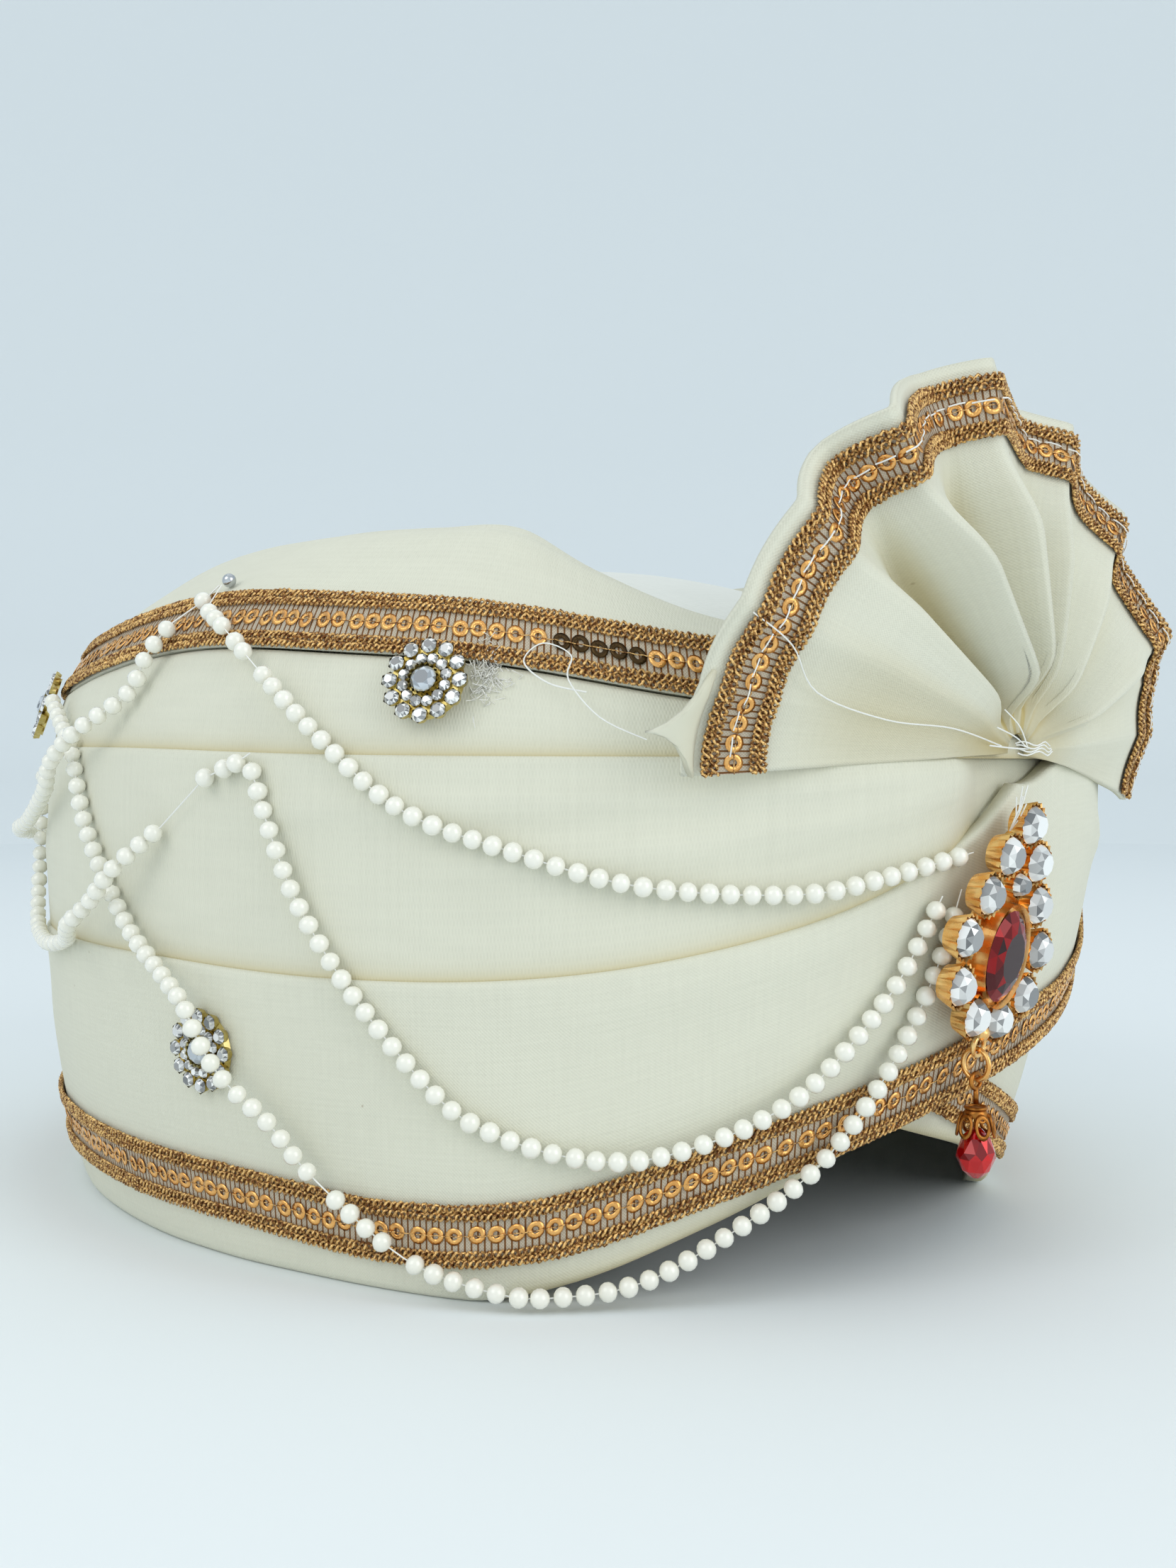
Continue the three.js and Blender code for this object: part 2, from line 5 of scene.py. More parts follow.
import bmesh
import bpy
import numpy as np
from mathutils import Matrix, Vector, noise


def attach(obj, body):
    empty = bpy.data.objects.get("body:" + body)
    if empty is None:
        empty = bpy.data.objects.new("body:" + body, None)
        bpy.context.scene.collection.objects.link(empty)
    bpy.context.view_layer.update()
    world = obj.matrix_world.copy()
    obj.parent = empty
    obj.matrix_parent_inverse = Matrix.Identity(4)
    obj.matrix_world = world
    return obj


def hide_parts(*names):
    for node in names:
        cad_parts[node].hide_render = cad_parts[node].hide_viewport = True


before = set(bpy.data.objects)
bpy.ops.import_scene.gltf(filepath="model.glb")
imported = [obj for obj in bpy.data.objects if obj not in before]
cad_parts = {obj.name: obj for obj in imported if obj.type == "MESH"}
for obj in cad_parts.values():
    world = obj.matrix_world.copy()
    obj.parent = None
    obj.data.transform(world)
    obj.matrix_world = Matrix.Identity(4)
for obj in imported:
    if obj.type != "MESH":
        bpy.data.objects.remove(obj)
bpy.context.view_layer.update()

# The wound cloth. A long strip of ivory crepe is wound round a stiffened cap in overlapping turns,
# each with a soft fold along its upper edge. The near turn crosses over the far one at the front
# and is pulled up to the knot, so shallow creases run from the knot along the side.
MM = 0.001
HALF_WIDTH, HALF_DEPTH = 109, 121.5
WALL, LAYER, GAP = 8, 2.6, 0.4
TRIM_WIDTH = 10.4
AXIS = Vector((0.0049679, 0.0048705, 0))


def smooth_table(*rows):
    """Rows of an angle and its values in mm, read smoothly between the rows."""
    keys = [row[0] for row in rows]
    values = np.array([row[1:] for row in rows], float)
    last = len(keys) - 1

    def read(angle):
        if angle <= keys[0] or angle >= keys[-1]:
            found = values[0 if angle <= keys[0] else last]
        else:
            i = bisect.bisect_right(keys, angle)
            t0, t1 = keys[i - 1], keys[i]
            before = i - 2 if i > 1 else i
            after = i + 1 if i < last else i - 1
            half = (t1 - t0) / 2
            back = half / (t0 - keys[before])
            ahead = half / (keys[after] - t1)
            p = (angle - t0) / (t1 - t0)
            found = (values[before] * back * (-p**3 + 2 * p**2 - p)
                     + values[i - 1] * ((1 + back) * p**3 - (1.5 + 2 * back) * p**2 + (back - 0.5) * p + 1)
                     + values[i] * (-(1 + ahead) * p**3 + (1.5 + ahead) * p**2 + 0.5 * p)
                     + values[after] * ahead * (p**3 - p**2))
        return found[0] if len(found) == 1 else found

    return read


def ramp(value, start, end):
    share = min(max((value - start) / (end - start), 0), 1)
    return share * share * (3 - 2 * share)


# The wall below the brow: its share of the plan, how far it tucks in, from what height, and its bend.
skirt = smooth_table(
    (-180, 1, 0.1, 61, 2.5), (-150, 1.014, 0.08, 61, 2.5), (-113, 1.022, 0.065, 61, 2.5),
    (-63, 1.002, 0.035, 61, 2.5), (-45, 1, 0.01, 61, 2.5), (-15, 1, 0.08, 70, 1.6), (0, 1, 0.12, 72, 1.5),
    (33, 0.974, 0.16, 75, 1.3), (65, 0.985, 0.1, 68, 2), (107, 1, 0.12, 61, 2.5), (180, 1, 0.1, 61, 2.5))
fold_a = smooth_table((0, 88), (60, 88.5), (90, 90), (180, 90))
fold_b = smooth_table(
    (0, 82), (8, 72), (14, 66), (21, 61), (34, 55), (45, 52.4), (60, 51.6), (82, 52.7), (180, 52))
upper_trim_line = smooth_table(
    (0, 97), (28, 102), (46, 108), (60, 110.5), (80, 112.5), (115, 106.5), (180, 103))
lower_edge = smooth_table(
    (-180, 0), (-60, 0), (-47, 0), (-39, 3.5), (-28, 12), (-12, 25), (0, 31.5), (33, 45), (52, 56), (80, 77))
far_edge = smooth_table((-10, 25), (-5, 22), (12, 12), (27, 0), (45, 0), (180, 0))
roll_edge = smooth_table(
    (0, 110, 104), (25, 94, 111), (36, 78, 120), (46, 64, 129), (60, 60, 130.5), (90, 58, 131),
    (180, 58, 130))

# Pulled creases: the line each follows, how proud it stands and how wide it is.
CREASES = [
    (smooth_table((-56, 69), (-30, 74), (-14, 79), (-3, 85)), -56, -3, 1.0, 3.2),
    (smooth_table((-74, 79), (-45, 80), (-20, 83), (-4, 86.5)), -74, -4, 0.8, 2.4),
    (smooth_table((-46, 44), (-28, 52), (-14, 62), (-6, 73)), -46, -6, 0.6, 4.5),
    (smooth_table((-62, 18), (-40, 25), (-22, 36), (-8, 50)), -62, -8, 0.5, 5.0),
    (smooth_table((-30, 96), (-14, 94), (-4, 91)), -30, -4, 0.8, 2.0),
    (smooth_table((-172, 70), (-140, 66), (-105, 72)), -172, -105, 0.6, 5.0),
    (smooth_table((60, 70), (100, 66), (150, 72)), 60, 150, 0.7, 5.0),
    (smooth_table((20, 40), (60, 34), (100, 38)), 20, 100, 0.6, 6.0),
    (smooth_table((4, 84), (30, 70), (60, 74), (90, 80)), 4, 90, 0.8, 3.5),
]
CREASE_START, CREASE_END = 12, 4
# Slack between the creases: how proud each wave stands, how close it is round the wall and how tall.
SLACK_WAVES = ((0.7, 2.1, 30), (0.22, 7, 11))
SHOULDER, SHOULDER_TALL, SHOULDER_LEAN, SHOULDER_BEND = 78, 30, 0.067, 2.37


def wall_radius(angle, height):
    turned = math.radians(angle)
    across = math.hypot(HALF_WIDTH * math.cos(turned), HALF_DEPTH * math.sin(turned))
    plan = HALF_WIDTH * HALF_DEPTH / across
    full, tuck, bend, power = skirt(angle)
    under = max(0, bend - height) / bend
    over = max(0, height - SHOULDER) / SHOULDER_TALL
    return plan * full * (1 - tuck * under**power - SHOULDER_LEAN * over**SHOULDER_BEND)


def slack(angle, height):
    """How far the cloth stands off the plain wall, in mm."""
    turned = math.radians(angle)
    x, y = math.sin(turned), math.cos(turned)
    proud = 0
    for rise, close, tall in SLACK_WAVES:
        proud += rise * noise.noise(Vector((close * x, close * y, height / tall)))
    for line, start, end, rise, width in CREASES:
        if start < angle < end:
            fade = ramp(angle, start, start + CREASE_START) * (1 - ramp(angle, end - CREASE_END, end))
            proud += fade * rise * math.exp(-((height - line(angle)) / width) ** 2)
    return proud


def cloth_radius(angle, height):
    return wall_radius(angle, height) + slack(angle, height)


def place(x, y, z):
    return AXIS + Vector((x, y, z)) * MM


def at(angle, radius, height):
    turned = math.radians(angle)
    return place(radius * math.sin(turned), -radius * math.cos(turned), height)


FACE_ROWS, INNER_ROWS = 26, 6
HEM, TUCKED, FOLD_TURN = 1.3, 0.15, 0.8
PUFF_TALL, HEM_PULL, HEM_PULL_TALL = 6, 0.3, 4
# How far up from a hem the painted shade reaches, and the painted shade on the inside face.
SHADE_TALL, INSIDE_SHADE = 1.4, 0.3


def wrap_rows(angle, lower, upper, inset, wall, proud, hem):
    """Radius, height and painted shade round one section: up the face, over the fold, down inside."""
    rows = []
    fold = min(FOLD_TURN, (upper - lower) / 4)
    for i in range(FACE_ROWS + 1):
        height = lower + (upper - lower) * (0.5 - 0.5 * math.cos(math.pi * i / FACE_ROWS))
        radius = cloth_radius(angle, height) - inset
        for turn, reach in ((fold, upper - height), (hem, height - lower)):
            radius -= turn - math.sqrt(max(0, turn**2 - max(0, turn - reach) ** 2))
        radius += proud * math.exp(-((upper - height) / PUFF_TALL) ** 2)
        radius -= HEM_PULL * math.exp(-((height - lower) / HEM_PULL_TALL) ** 2)
        # Painted shade along the band's lower edge, darkest at the hem, where that edge is off the floor.
        deep = math.exp(-(height - lower) / SHADE_TALL) if lower > 1 else 0
        rows.append((radius, height, deep))
    # The inside face, with a fixed share of painted shade.
    for i in range(INNER_ROWS + 1):
        height = upper + (lower - upper) * i / INNER_ROWS
        rows.append((wall_radius(angle, height) - inset - wall, height, INSIDE_SHADE))
    return rows


MEAN_RADIUS, WELD = 0.115, 1e-6


def skin(angles, sections):
    """A grid bent into a closed skin round the axis, with its weave laid out in metres."""
    along, around = len(sections) - 1, len(sections[0])
    bm = bmesh.new()
    weave = bm.loops.layers.uv.new("weave")
    deep = bm.verts.layers.float.new("deep")
    bmesh.ops.create_grid(bm, x_segments=along, y_segments=around, size=0.5)
    middle = [Vector(row[:2]) for row in sections[along // 2]]
    run = [0]
    for here, after in zip(middle, middle[1:] + middle[:1]):
        run.append(run[-1] + (after - here).length * MM)
    spots = {vert: (round((vert.co.x + 0.5) * along), round((vert.co.y + 0.5) * around))
             for vert in bm.verts}
    for face in bm.faces:
        face.smooth = True
        for loop in face.loops:
            i, j = spots[loop.vert]
            loop[weave].uv = (math.radians(angles[i]) * MEAN_RADIUS, run[j])
    # Each corner takes its place and its share of painted shade.
    for vert, (i, j) in spots.items():
        radius, height, shade = sections[i][j % around]
        vert.co = at(angles[i], radius, height)
        vert[deep] = shade
    bmesh.ops.remove_doubles(bm, verts=bm.verts, dist=WELD)
    ends = [edge for edge in bm.edges if edge.is_boundary]
    if ends:
        bmesh.ops.holes_fill(bm, edges=ends, sides=0)
    bmesh.ops.recalc_face_normals(bm, faces=bm.faces)
    return bm


def piece_from(bm, name, finishes, body, slot, *replaced):
    mesh = bpy.data.meshes.new(name)
    bm.to_mesh(mesh)
    bm.free()
    piece = bpy.data.objects.new(name, mesh)
    bpy.context.collection.objects.link(piece)
    for finish in finishes:
        mesh.materials.append(finish)
    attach(piece, body)
    if replaced:
        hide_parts(*replaced)
    return piece


class Shade:
    """A value on its way through a finish: sums and products of shades add the nodes for them."""

    def __init__(self, tree, socket=None):
        self.tree = tree
        self.socket = socket

    def node(self, kind, settings=None, sockets=None, output=0):
        made = self.tree.nodes.new(kind)
        for name, value in (settings or {}).items():
            setattr(made, name, value)
        for name, value in (sockets or {}).items():
            if isinstance(value, Shade):
                self.tree.links.new(value.socket, made.inputs[name])
            else:
                made.inputs[name].default_value = value
        return Shade(self.tree, made.outputs[output])

    def other(self, output):
        return Shade(self.tree, self.socket.node.outputs[output])

    def mottle(self, scale, detail=2.0):
        """Soft noise that lies still in the piece."""
        where = self.node("ShaderNodeTexCoord", output=3)
        return self.node("ShaderNodeTexNoise", {}, {"Vector": where, "Scale": scale, "Detail": detail})

    def maths(self, operation, *values):
        return self.node("ShaderNodeMath", {"operation": operation}, dict(enumerate(values)))

    def __add__(self, other):
        return self.maths("ADD", self, other)

    def __sub__(self, other):
        return self.maths("SUBTRACT", self, other)

    def __rsub__(self, other):
        return self.maths("SUBTRACT", other, self)

    def __mul__(self, other):
        return self.maths("MULTIPLY", self, other)

    def __pow__(self, other):
        return self.maths("POWER", self, other)

    __radd__ = __add__
    __rmul__ = __mul__

    def sine(self):
        return self.maths("SINE", self)

    def clamped(self):
        return self.node("ShaderNodeClamp", {}, {0: self})

    def mix(self, first, second):
        return self.node("ShaderNodeMix", {"data_type": "RGBA"}, {0: self, 6: first, 7: second}, 2)

    def into(self, socket):
        self.tree.links.new(self.socket, socket)

    def raise_on(self, sockets, strength, distance):
        """Relief in the surface where this is high."""
        relief = {"Strength": strength, "Distance": distance, "Height": self}
        self.node("ShaderNodeBump", {}, relief).into(sockets["Normal"])


def colour(red, green, blue):
    """A colour as it is seen, 0 to 255, in the linear values that a shader takes."""
    seen = (red, green, blue)
    return tuple(((c / 255 + 0.055) / 1.055) ** 2.4 if c > 10 else c / 3294.6 for c in seen) + (1,)


def new_finish(name, constants):
    material = bpy.data.materials.new(name)
    material.use_nodes = True
    shader = material.node_tree.nodes["Principled BSDF"]
    for socket, value in constants.items():
        shader.inputs[socket].default_value = value
    return material, Shade(material.node_tree), shader.inputs


def woven_finish(name, face, painted_shade_tone, pitch, twill, where):
    """Cloth: threads over and under at the pitch, uneven yarn, and painted shade, warmer and darker, down in
    the folds.
    """
    material, flow, sockets = new_finish(
        name, {"Roughness": 0.82, "Specular IOR Level": 0.3, "Sheen Weight": 0.12, "Sheen Roughness": 0.45})
    if where == "weave":
        laid = flow.node("ShaderNodeUVMap", {"uv_map": "weave"})
    else:
        laid = flow.node("ShaderNodeTexCoord", output=3)
    along = flow.node("ShaderNodeSeparateXYZ", {}, {0: laid})
    warp = along * (2 * math.pi / pitch)
    weft = along.other(1) * (2 * math.pi / pitch)
    grain = (warp + weft).sine() if twill else warp.sine() * weft.sine()
    yarn_along = flow.node("ShaderNodeMapping", {}, {"Vector": laid, "Scale": (90, 1900, 1)})
    yarn_across = flow.node("ShaderNodeMapping", {}, {"Vector": laid, "Scale": (1900, 90, 1)})

    def laid_noise(vector, scale, detail):
        return flow.node("ShaderNodeTexNoise", {}, {"Vector": vector, "Scale": scale, "Detail": detail})

    uneven = laid_noise(yarn_along, 1.0, 0.0) + laid_noise(yarn_across, 1.0, 0.0)
    patch = laid_noise(laid, 28.0, 1.0)
    speck = laid_noise(laid, 520.0, 0.0)
    darker = tuple(0.8 * c for c in face[:3]) + (1,)
    toned = (grain * 0.12 + uneven * 0.22 + patch * 0.25 - 0.1).clamped().mix(face, darker)
    # Painted shade: the colour turns warmer and darker where the mesh's shade value is high.
    painted_shade_mask = flow.node("ShaderNodeAttribute", {"attribute_name": "deep"}, output=2)
    shaded = (painted_shade_mask * 0.75).clamped().mix(toned, painted_shade_tone)
    spotted = ((speck - 0.9) * 12).clamped().mix(shaded, colour(150, 128, 92))
    spotted.into(sockets["Base Color"])
    (0.76 + uneven * 0.08).into(sockets["Roughness"])
    (grain * 0.5 + uneven).raise_on(sockets, 0.45, 0.0001)
    return material


# The cloth's own colour, and the warmer colour painted in as shade.
IVORY, FOLD_SHADE = colour(224, 223, 205), colour(198, 180, 124)
cloth_finish = woven_finish("ivory_crepe", IVORY, FOLD_SHADE, 0.00056, False, "weave")


def side(angle):
    return abs(angle)


def stations(start, end, step=1.25):
    count = round((end - start) / step)
    return [start + (end - start) * i / count for i in range(count + 1)]


UNDER = LAYER + 2 * GAP
CROSS_START, CROSS_END, NEAR_END, LEVEL_AGAIN = -8, -2, 80, 95
KNOT_START, KNOT_END, THIN_START, THIN_END = -4, 8, -30, -15
END_TUCK, END_TUCK_START, LEAST_TALL = 5, 58, 4
MIDDLE_TUCK, MIDDLE_TUCK_START = 3, -5
TURN_PUFF, MIDDLE_PUFF, UPPER_PUFF, COVERED = 0.5, 0.4, 0.2, 0.5


def beneath(angle):
    return UNDER * ramp(angle, CROSS_START, CROSS_END) * (1 - ramp(angle, NEAR_END, LEVEL_AGAIN))


def near_top(angle):
    over_knot = ramp(angle, KNOT_START, KNOT_END) * (fold_a(side(angle)) - fold_b(side(angle)))
    return fold_b(side(angle)) + over_knot - GAP / 2


def tucked_end(angle):
    """The near turn's end, worked in under the turn above it."""
    return END_TUCK * ramp(angle, END_TUCK_START, NEAR_END)


def near_rows(angle):
    lower = max(0, lower_edge(angle))
    upper = max(near_top(angle), lower + LEAST_TALL)
    wall = WALL + (LAYER - WALL) * ramp(angle, THIN_START, THIN_END)
    return wrap_rows(angle, lower, upper, tucked_end(angle), wall, TURN_PUFF, HEM)


def far_inset(angle):
    """How far in the far turn lies under the near one."""
    return UNDER if angle < 0 else beneath(angle)


def far_rows(angle):
    inset = far_inset(angle)
    return wrap_rows(angle, max(0, far_edge(angle)), fold_b(side(angle)) - GAP / 2, inset, WALL - inset,
                     0 if inset > COVERED else TURN_PUFF, HEM)


def middle_rows(angle):
    inset = beneath(angle)
    if angle > 0:
        lower = fold_b(side(angle)) - GAP
    else:
        lower = near_top(angle) - GAP / 2 - MIDDLE_TUCK * ramp(angle, MIDDLE_TUCK_START, CROSS_END)
    return wrap_rows(angle, lower, fold_a(side(angle)) - GAP / 2, inset, WALL - inset,
                     0 if inset > COVERED else MIDDLE_PUFF, TUCKED)


def roll_foot(angle):
    return upper_trim_line(side(angle)) - TRIM_WIDTH / 2


def upper_rows(angle):
    return wrap_rows(angle, fold_a(side(angle)) - GAP, roll_foot(angle) - GAP / 2, 0, WALL,
                     UPPER_PUFF, TUCKED)


full_turn = stations(-180, 180)
for name, angles, rows_at in (
        ("lower_band", stations(-180, NEAR_END), near_rows),
        ("far_band", stations(-10, 180), far_rows),
        ("middle_band", full_turn, middle_rows),
        ("upper_band", full_turn, upper_rows)):
    wound = skin(angles, [rows_at(angle) for angle in angles])
    wrap = piece_from(wound, name + "_cloth", [cloth_finish], "turban", "cloth", name)

# The top roll. The last turn of the same cloth is folded over a soft padding, stands over the crown
# at the sides and back, and runs down to the front with a double ridge along its folded edge.
CROWN_TOP, CROWN_RIM = 129.5, 94
# The roll's brow, as shares of the way in and up to its edge, and the ridge and groove along that edge.
BROW = ((0.42, 0.72), (0.75, 0.97), (1, 1))
RIDGES = ((1.1, 0.84, 0.035), (-0.8, 0.92, 0.03))
ROLL_PUFF, ROLL_LIP, ROLL_SHADE, ROLL_STEPS = 1.2, 1.5, 0.4, 7
UNDERSIDE = (1, 0.85, 0.7, 0.55, 0.4, 0.3, 0.2, 0.1, 0)


def crown_rim(angle):
    return wall_radius(angle, CROWN_RIM) - WALL - 2 * GAP


def crown_height(angle, radius):
    return CROWN_TOP - (CROWN_TOP - CROWN_RIM) * (radius / crown_rim(angle)) ** 2


def soft_line(points, steps):
    """A soft line through the points."""
    line = []
    for i in range(len(points) - 1):
        p0, p1, p2, p3 = (Vector(points[min(max(k, 0), len(points) - 1)]) for k in range(i - 1, i + 3))
        for step in range(steps):
            t = step / steps
            line.append(0.5 * (2 * p1 + (p2 - p0) * t + (2 * p0 - 5 * p1 + 4 * p2 - p3) * t**2
                               + (3 * p1 - p0 - 3 * p2 + p3) * t**3))
    return line + [Vector(points[-1])]


def roll_rows(angle):
    foot = roll_foot(angle) + GAP / 2
    edge_radius, edge_height = roll_edge(side(angle))
    brow, behind_trim = foot + TRIM_WIDTH, foot + TRIM_WIDTH / 2
    brow_radius = wall_radius(angle, brow)
    outer = [(wall_radius(angle, foot), foot), (wall_radius(angle, behind_trim), behind_trim),
             (brow_radius, brow)]
    for across, up in BROW:
        outer.append((brow_radius + (edge_radius - brow_radius) * across, brow + (edge_height - brow) * up))
    line = soft_line(outer, ROLL_STEPS)
    rows = []
    for i, (radius, height) in enumerate(line):
        share = i / (len(line) - 1)
        loose = slack(angle, height) * (1 - 0.5 * share)
        ridge = sum(rise * math.exp(-((share - where) / width) ** 2) for rise, where, width in RIDGES)
        puff = ROLL_PUFF * math.sin(math.pi * ramp(share, 0.35, 0.85))
        raised = height + (ridge + puff) * ramp(share, 0.5, 0.75) + loose * share
        rows.append((radius + loose * (1 - share), raised, 0))
    lip = min(edge_radius + ROLL_LIP, wall_radius(angle, foot) - WALL - 1)
    wall = wall_radius(angle, foot) - WALL
    # The roll's underside, with a fixed share of painted shade.
    for share in UNDERSIDE:
        radius = wall + (lip - wall) * share
        on_crown = crown_height(angle, min(radius, crown_rim(angle))) + 2 * GAP
        under = foot if share == 0 else max(on_crown, foot * (1 - share) ** 4)
        rows.append((radius, min(under, edge_height - 1), ROLL_SHADE))
    return rows


rolled = skin(full_turn, [roll_rows(angle) for angle in full_turn])
roll = piece_from(rolled, "top_roll_cloth", [cloth_finish], "turban", "cloth", "top_roll")

# The crown. A round of grey-white twill is stretched over the cap inside the roll and caught
# under its edge.
CROWN_CLOTH, CROWN_RINGS, CROWN_STEPS = 2.0, 16, 144
TWILL, TWILL_SHADE = colour(232, 234, 228), colour(200, 198, 186)
crown_finish = woven_finish("crown_twill", TWILL, TWILL_SHADE, 0.0011, True, "object")


def smooth_faces(bm):
    for face in bm.faces:
        face.smooth = True


bm = bmesh.new()
spokes = [bm.verts.new((i / CROWN_RINGS, 0, 0)) for i in range(CROWN_RINGS + 1)]
strip = [bm.edges.new(pair) for pair in zip(spokes, spokes[1:])]
bmesh.ops.spin(bm, geom=spokes + strip, cent=(0, 0, 0), axis=(0, 0, 1), angle=2 * math.pi, steps=CROWN_STEPS,
               use_merge=True)
bmesh.ops.remove_doubles(bm, verts=bm.verts, dist=1e-5)
for vert in bm.verts:
    share = vert.co.length
    angle = math.degrees(math.atan2(vert.co.x, -vert.co.y))
    radius = share * crown_rim(angle)
    vert.co = at(angle, radius, crown_height(angle, radius))
bmesh.ops.recalc_face_normals(bm, faces=bm.faces)
if sum(face.normal.z for face in bm.faces) < 0:
    bmesh.ops.reverse_faces(bm, faces=bm.faces)
bmesh.ops.solidify(bm, geom=bm.faces[:] + bm.edges[:] + bm.verts[:], thickness=CROWN_CLOTH * MM)
smooth_faces(bm)
crown = piece_from(bm, "crown_cloth", [crown_finish], "turban", "crown_cloth", "crown")

# The sequin trims. A net ribbon carries a looped metal-thread braid along both edges and a row of
# ring sequins stitched down its middle. It is sewn flat along the cloth.
lower_trim_line = smooth_table(
    (-180, 13), (-112, 13.5), (-72, 12.5), (-54, 10.5), (-42, 12.6), (-27, 22), (-11, 31.3), (0, 37.5),
    (33, 51), (52, 62), (80, 83))
far_trim_line = smooth_table(
    (-10, 36), (-5, 31.5), (0, 27), (12, 18), (28, 10.5), (45, 10), (72, 12.5), (112, 13.5), (180, 13))
BRAID_ROWS = (4.5, 3.1, -3.1, -4.5)
BRAID_PITCH, BRAID_SWAY, BRAID_CORD = 2.15, 0.62, 0.27
BRAID_STEP, BRAID_LIFT, BRAID_RISE, BRAID_WANDER = 0.37, 0.62, 0.3, 0.22
SEQUIN_RADIUS, SEQUIN_HOLE, SEQUIN_THICK, SEQUIN_SIDES = 1.5, 0.6, 0.12, 12
SEQUIN_LIFT, SEQUIN_TILT, SEQUIN_SHIFT, SEQUIN_SPACES = 0.34, 0.14, 0.2, (0.1, 0.15, 0.25, 0.9)
NET_WIDTH, NET_LIFT, NET_STEP, NET_LADDER, NET_HOLE = 9.4, 0.12, 1.6, 0.00112, 0.0005
TRIM_SEAT, TRIM_END, STITCHING, STITCHING_LIFT = 0.3, 1.8, 0.2, 0.52

braid_finish, flow, sockets = new_finish("bronze_braid", {"Metallic": 0.45})
# Painted glints and shade: noise spreads the braid's bronze colour from dark to bright, as the twisted metal
# threads would catch and lose the light.
glint = flow.mottle(1900.0)
strand = flow.node("ShaderNodeTexVoronoi", {}, {
    "Vector": flow.node("ShaderNodeTexCoord", output=3), "Scale": 2600.0}, 0)
lit = ((glint - 0.4) * 5).clamped()
lit.mix(colour(118, 70, 28), colour(252, 206, 132)).into(sockets["Base Color"])
(0.5 - lit * 0.22).into(sockets["Roughness"])
strand.raise_on(sockets, 0.6, 0.00015)


def ring_finish(name, constants, low_tone, high_tone, polish, wear):
    """Thin stamped metal, tarnished in patches."""
    material, flow, sockets = new_finish(name, constants)
    tarnish = flow.mottle(420.0)
    tarnish.mix(low_tone, high_tone).into(sockets["Base Color"])
    (polish + tarnish * wear).into(sockets["Roughness"])
    return material


sequin_finish = ring_finish("gold_sequin", {"Metallic": 0.95, "Coat Weight": 0.3}, colour(222, 148, 66),
                            colour(255, 204, 128), 0.2, 0.16)
dark_sequin_finish = ring_finish("dark_sequin", {"Metallic": 0.9}, colour(38, 28, 16), colour(92, 70, 40),
                                 0.25, 0.2)

net_finish, flow, sockets = new_finish("trim_net", {"Roughness": 0.7, "Specular IOR Level": 0.3})
laid = flow.node("ShaderNodeSeparateXYZ", {}, {0: flow.node("ShaderNodeUVMap", {"uv_map": "weave"})})
ladder = (((laid * (2 * math.pi / NET_LADDER)).sine() - 0.55) * 5).clamped()
mesh_hole = (laid * (2 * math.pi / NET_HOLE)).sine() * (laid.other(1) * (2 * math.pi / NET_HOLE)).sine()
ladder.mix((mesh_hole * 0.3 + 0.35).clamped().mix(colour(206, 196, 178), colour(150, 130, 100)),
           colour(118, 78, 38)).into(sockets["Base Color"])
ladder.raise_on(sockets, 0.5, 0.0002)


def cord_mesh(lines, thickness, sides=4):
    """Thin cords along the lines, in one mesh."""
    curve = bpy.data.curves.new("cord", "CURVE")
    curve.dimensions = "3D"
    curve.bevel_depth = thickness * MM / 2
    curve.bevel_resolution = (sides - 4) // 2
    curve.use_fill_caps = True
    for line in lines:
        spline = curve.splines.new("POLY")
        spline.points.add(len(line) - 1)
        spline.points.foreach_set("co", [number for point in line for number in (*point, 1)])
    holder = bpy.data.objects.new("cord", curve)
    bpy.context.collection.objects.link(holder)
    made = bpy.data.meshes.new_from_object(holder.evaluated_get(bpy.context.evaluated_depsgraph_get()))
    bpy.data.objects.remove(holder)
    bpy.data.curves.remove(curve)
    return made


def take_in(bm, mesh, finish_index, smooth=True):
    """Adds a mesh to a piece with its own finish."""
    known = len(bm.faces)
    bm.from_mesh(mesh)
    bm.faces.ensure_lookup_table()
    for face in bm.faces[known:]:
        face.material_index = finish_index
        face.smooth = smooth
    bpy.data.meshes.remove(mesh)


def run_along(points):
    """How far along the line each point is, in mm."""
    return np.concatenate([[0], np.cumsum([(b - a).length / MM for a, b in zip(points, points[1:])])])


def ribbon_on_wall(line, start, end, inset):
    """Lays a flat ribbon on the cloth: mm along, across and out give a place."""
    angles = stations(start, end, 0.5)
    run = run_along([at(angle, cloth_radius(angle, line(angle)), line(angle)) for angle in angles])

    def lay(along, across, out):
        angle = float(np.interp(along, run, angles))
        height = line(angle) + across
        return at(angle, cloth_radius(angle, height) - inset(angle) + TRIM_SEAT + out, height)

    def angle_at(along):
        return float(np.interp(along, run, angles))

    return lay, float(run[-1]), angle_at


bm = bmesh.new()
for ring_radius in (SEQUIN_RADIUS, SEQUIN_HOLE):
    bmesh.ops.create_circle(bm, segments=SEQUIN_SIDES, radius=ring_radius)
bmesh.ops.bridge_loops(bm, edges=bm.edges)
bmesh.ops.recalc_face_normals(bm, faces=bm.faces)
bmesh.ops.solidify(bm, geom=bm.faces[:] + bm.edges[:] + bm.verts[:], thickness=SEQUIN_THICK)
bmesh.ops.recalc_face_normals(bm, faces=bm.faces)
sequin_unit = bpy.data.meshes.new("sequin_unit")
bm.to_mesh(sequin_unit)
bm.free()


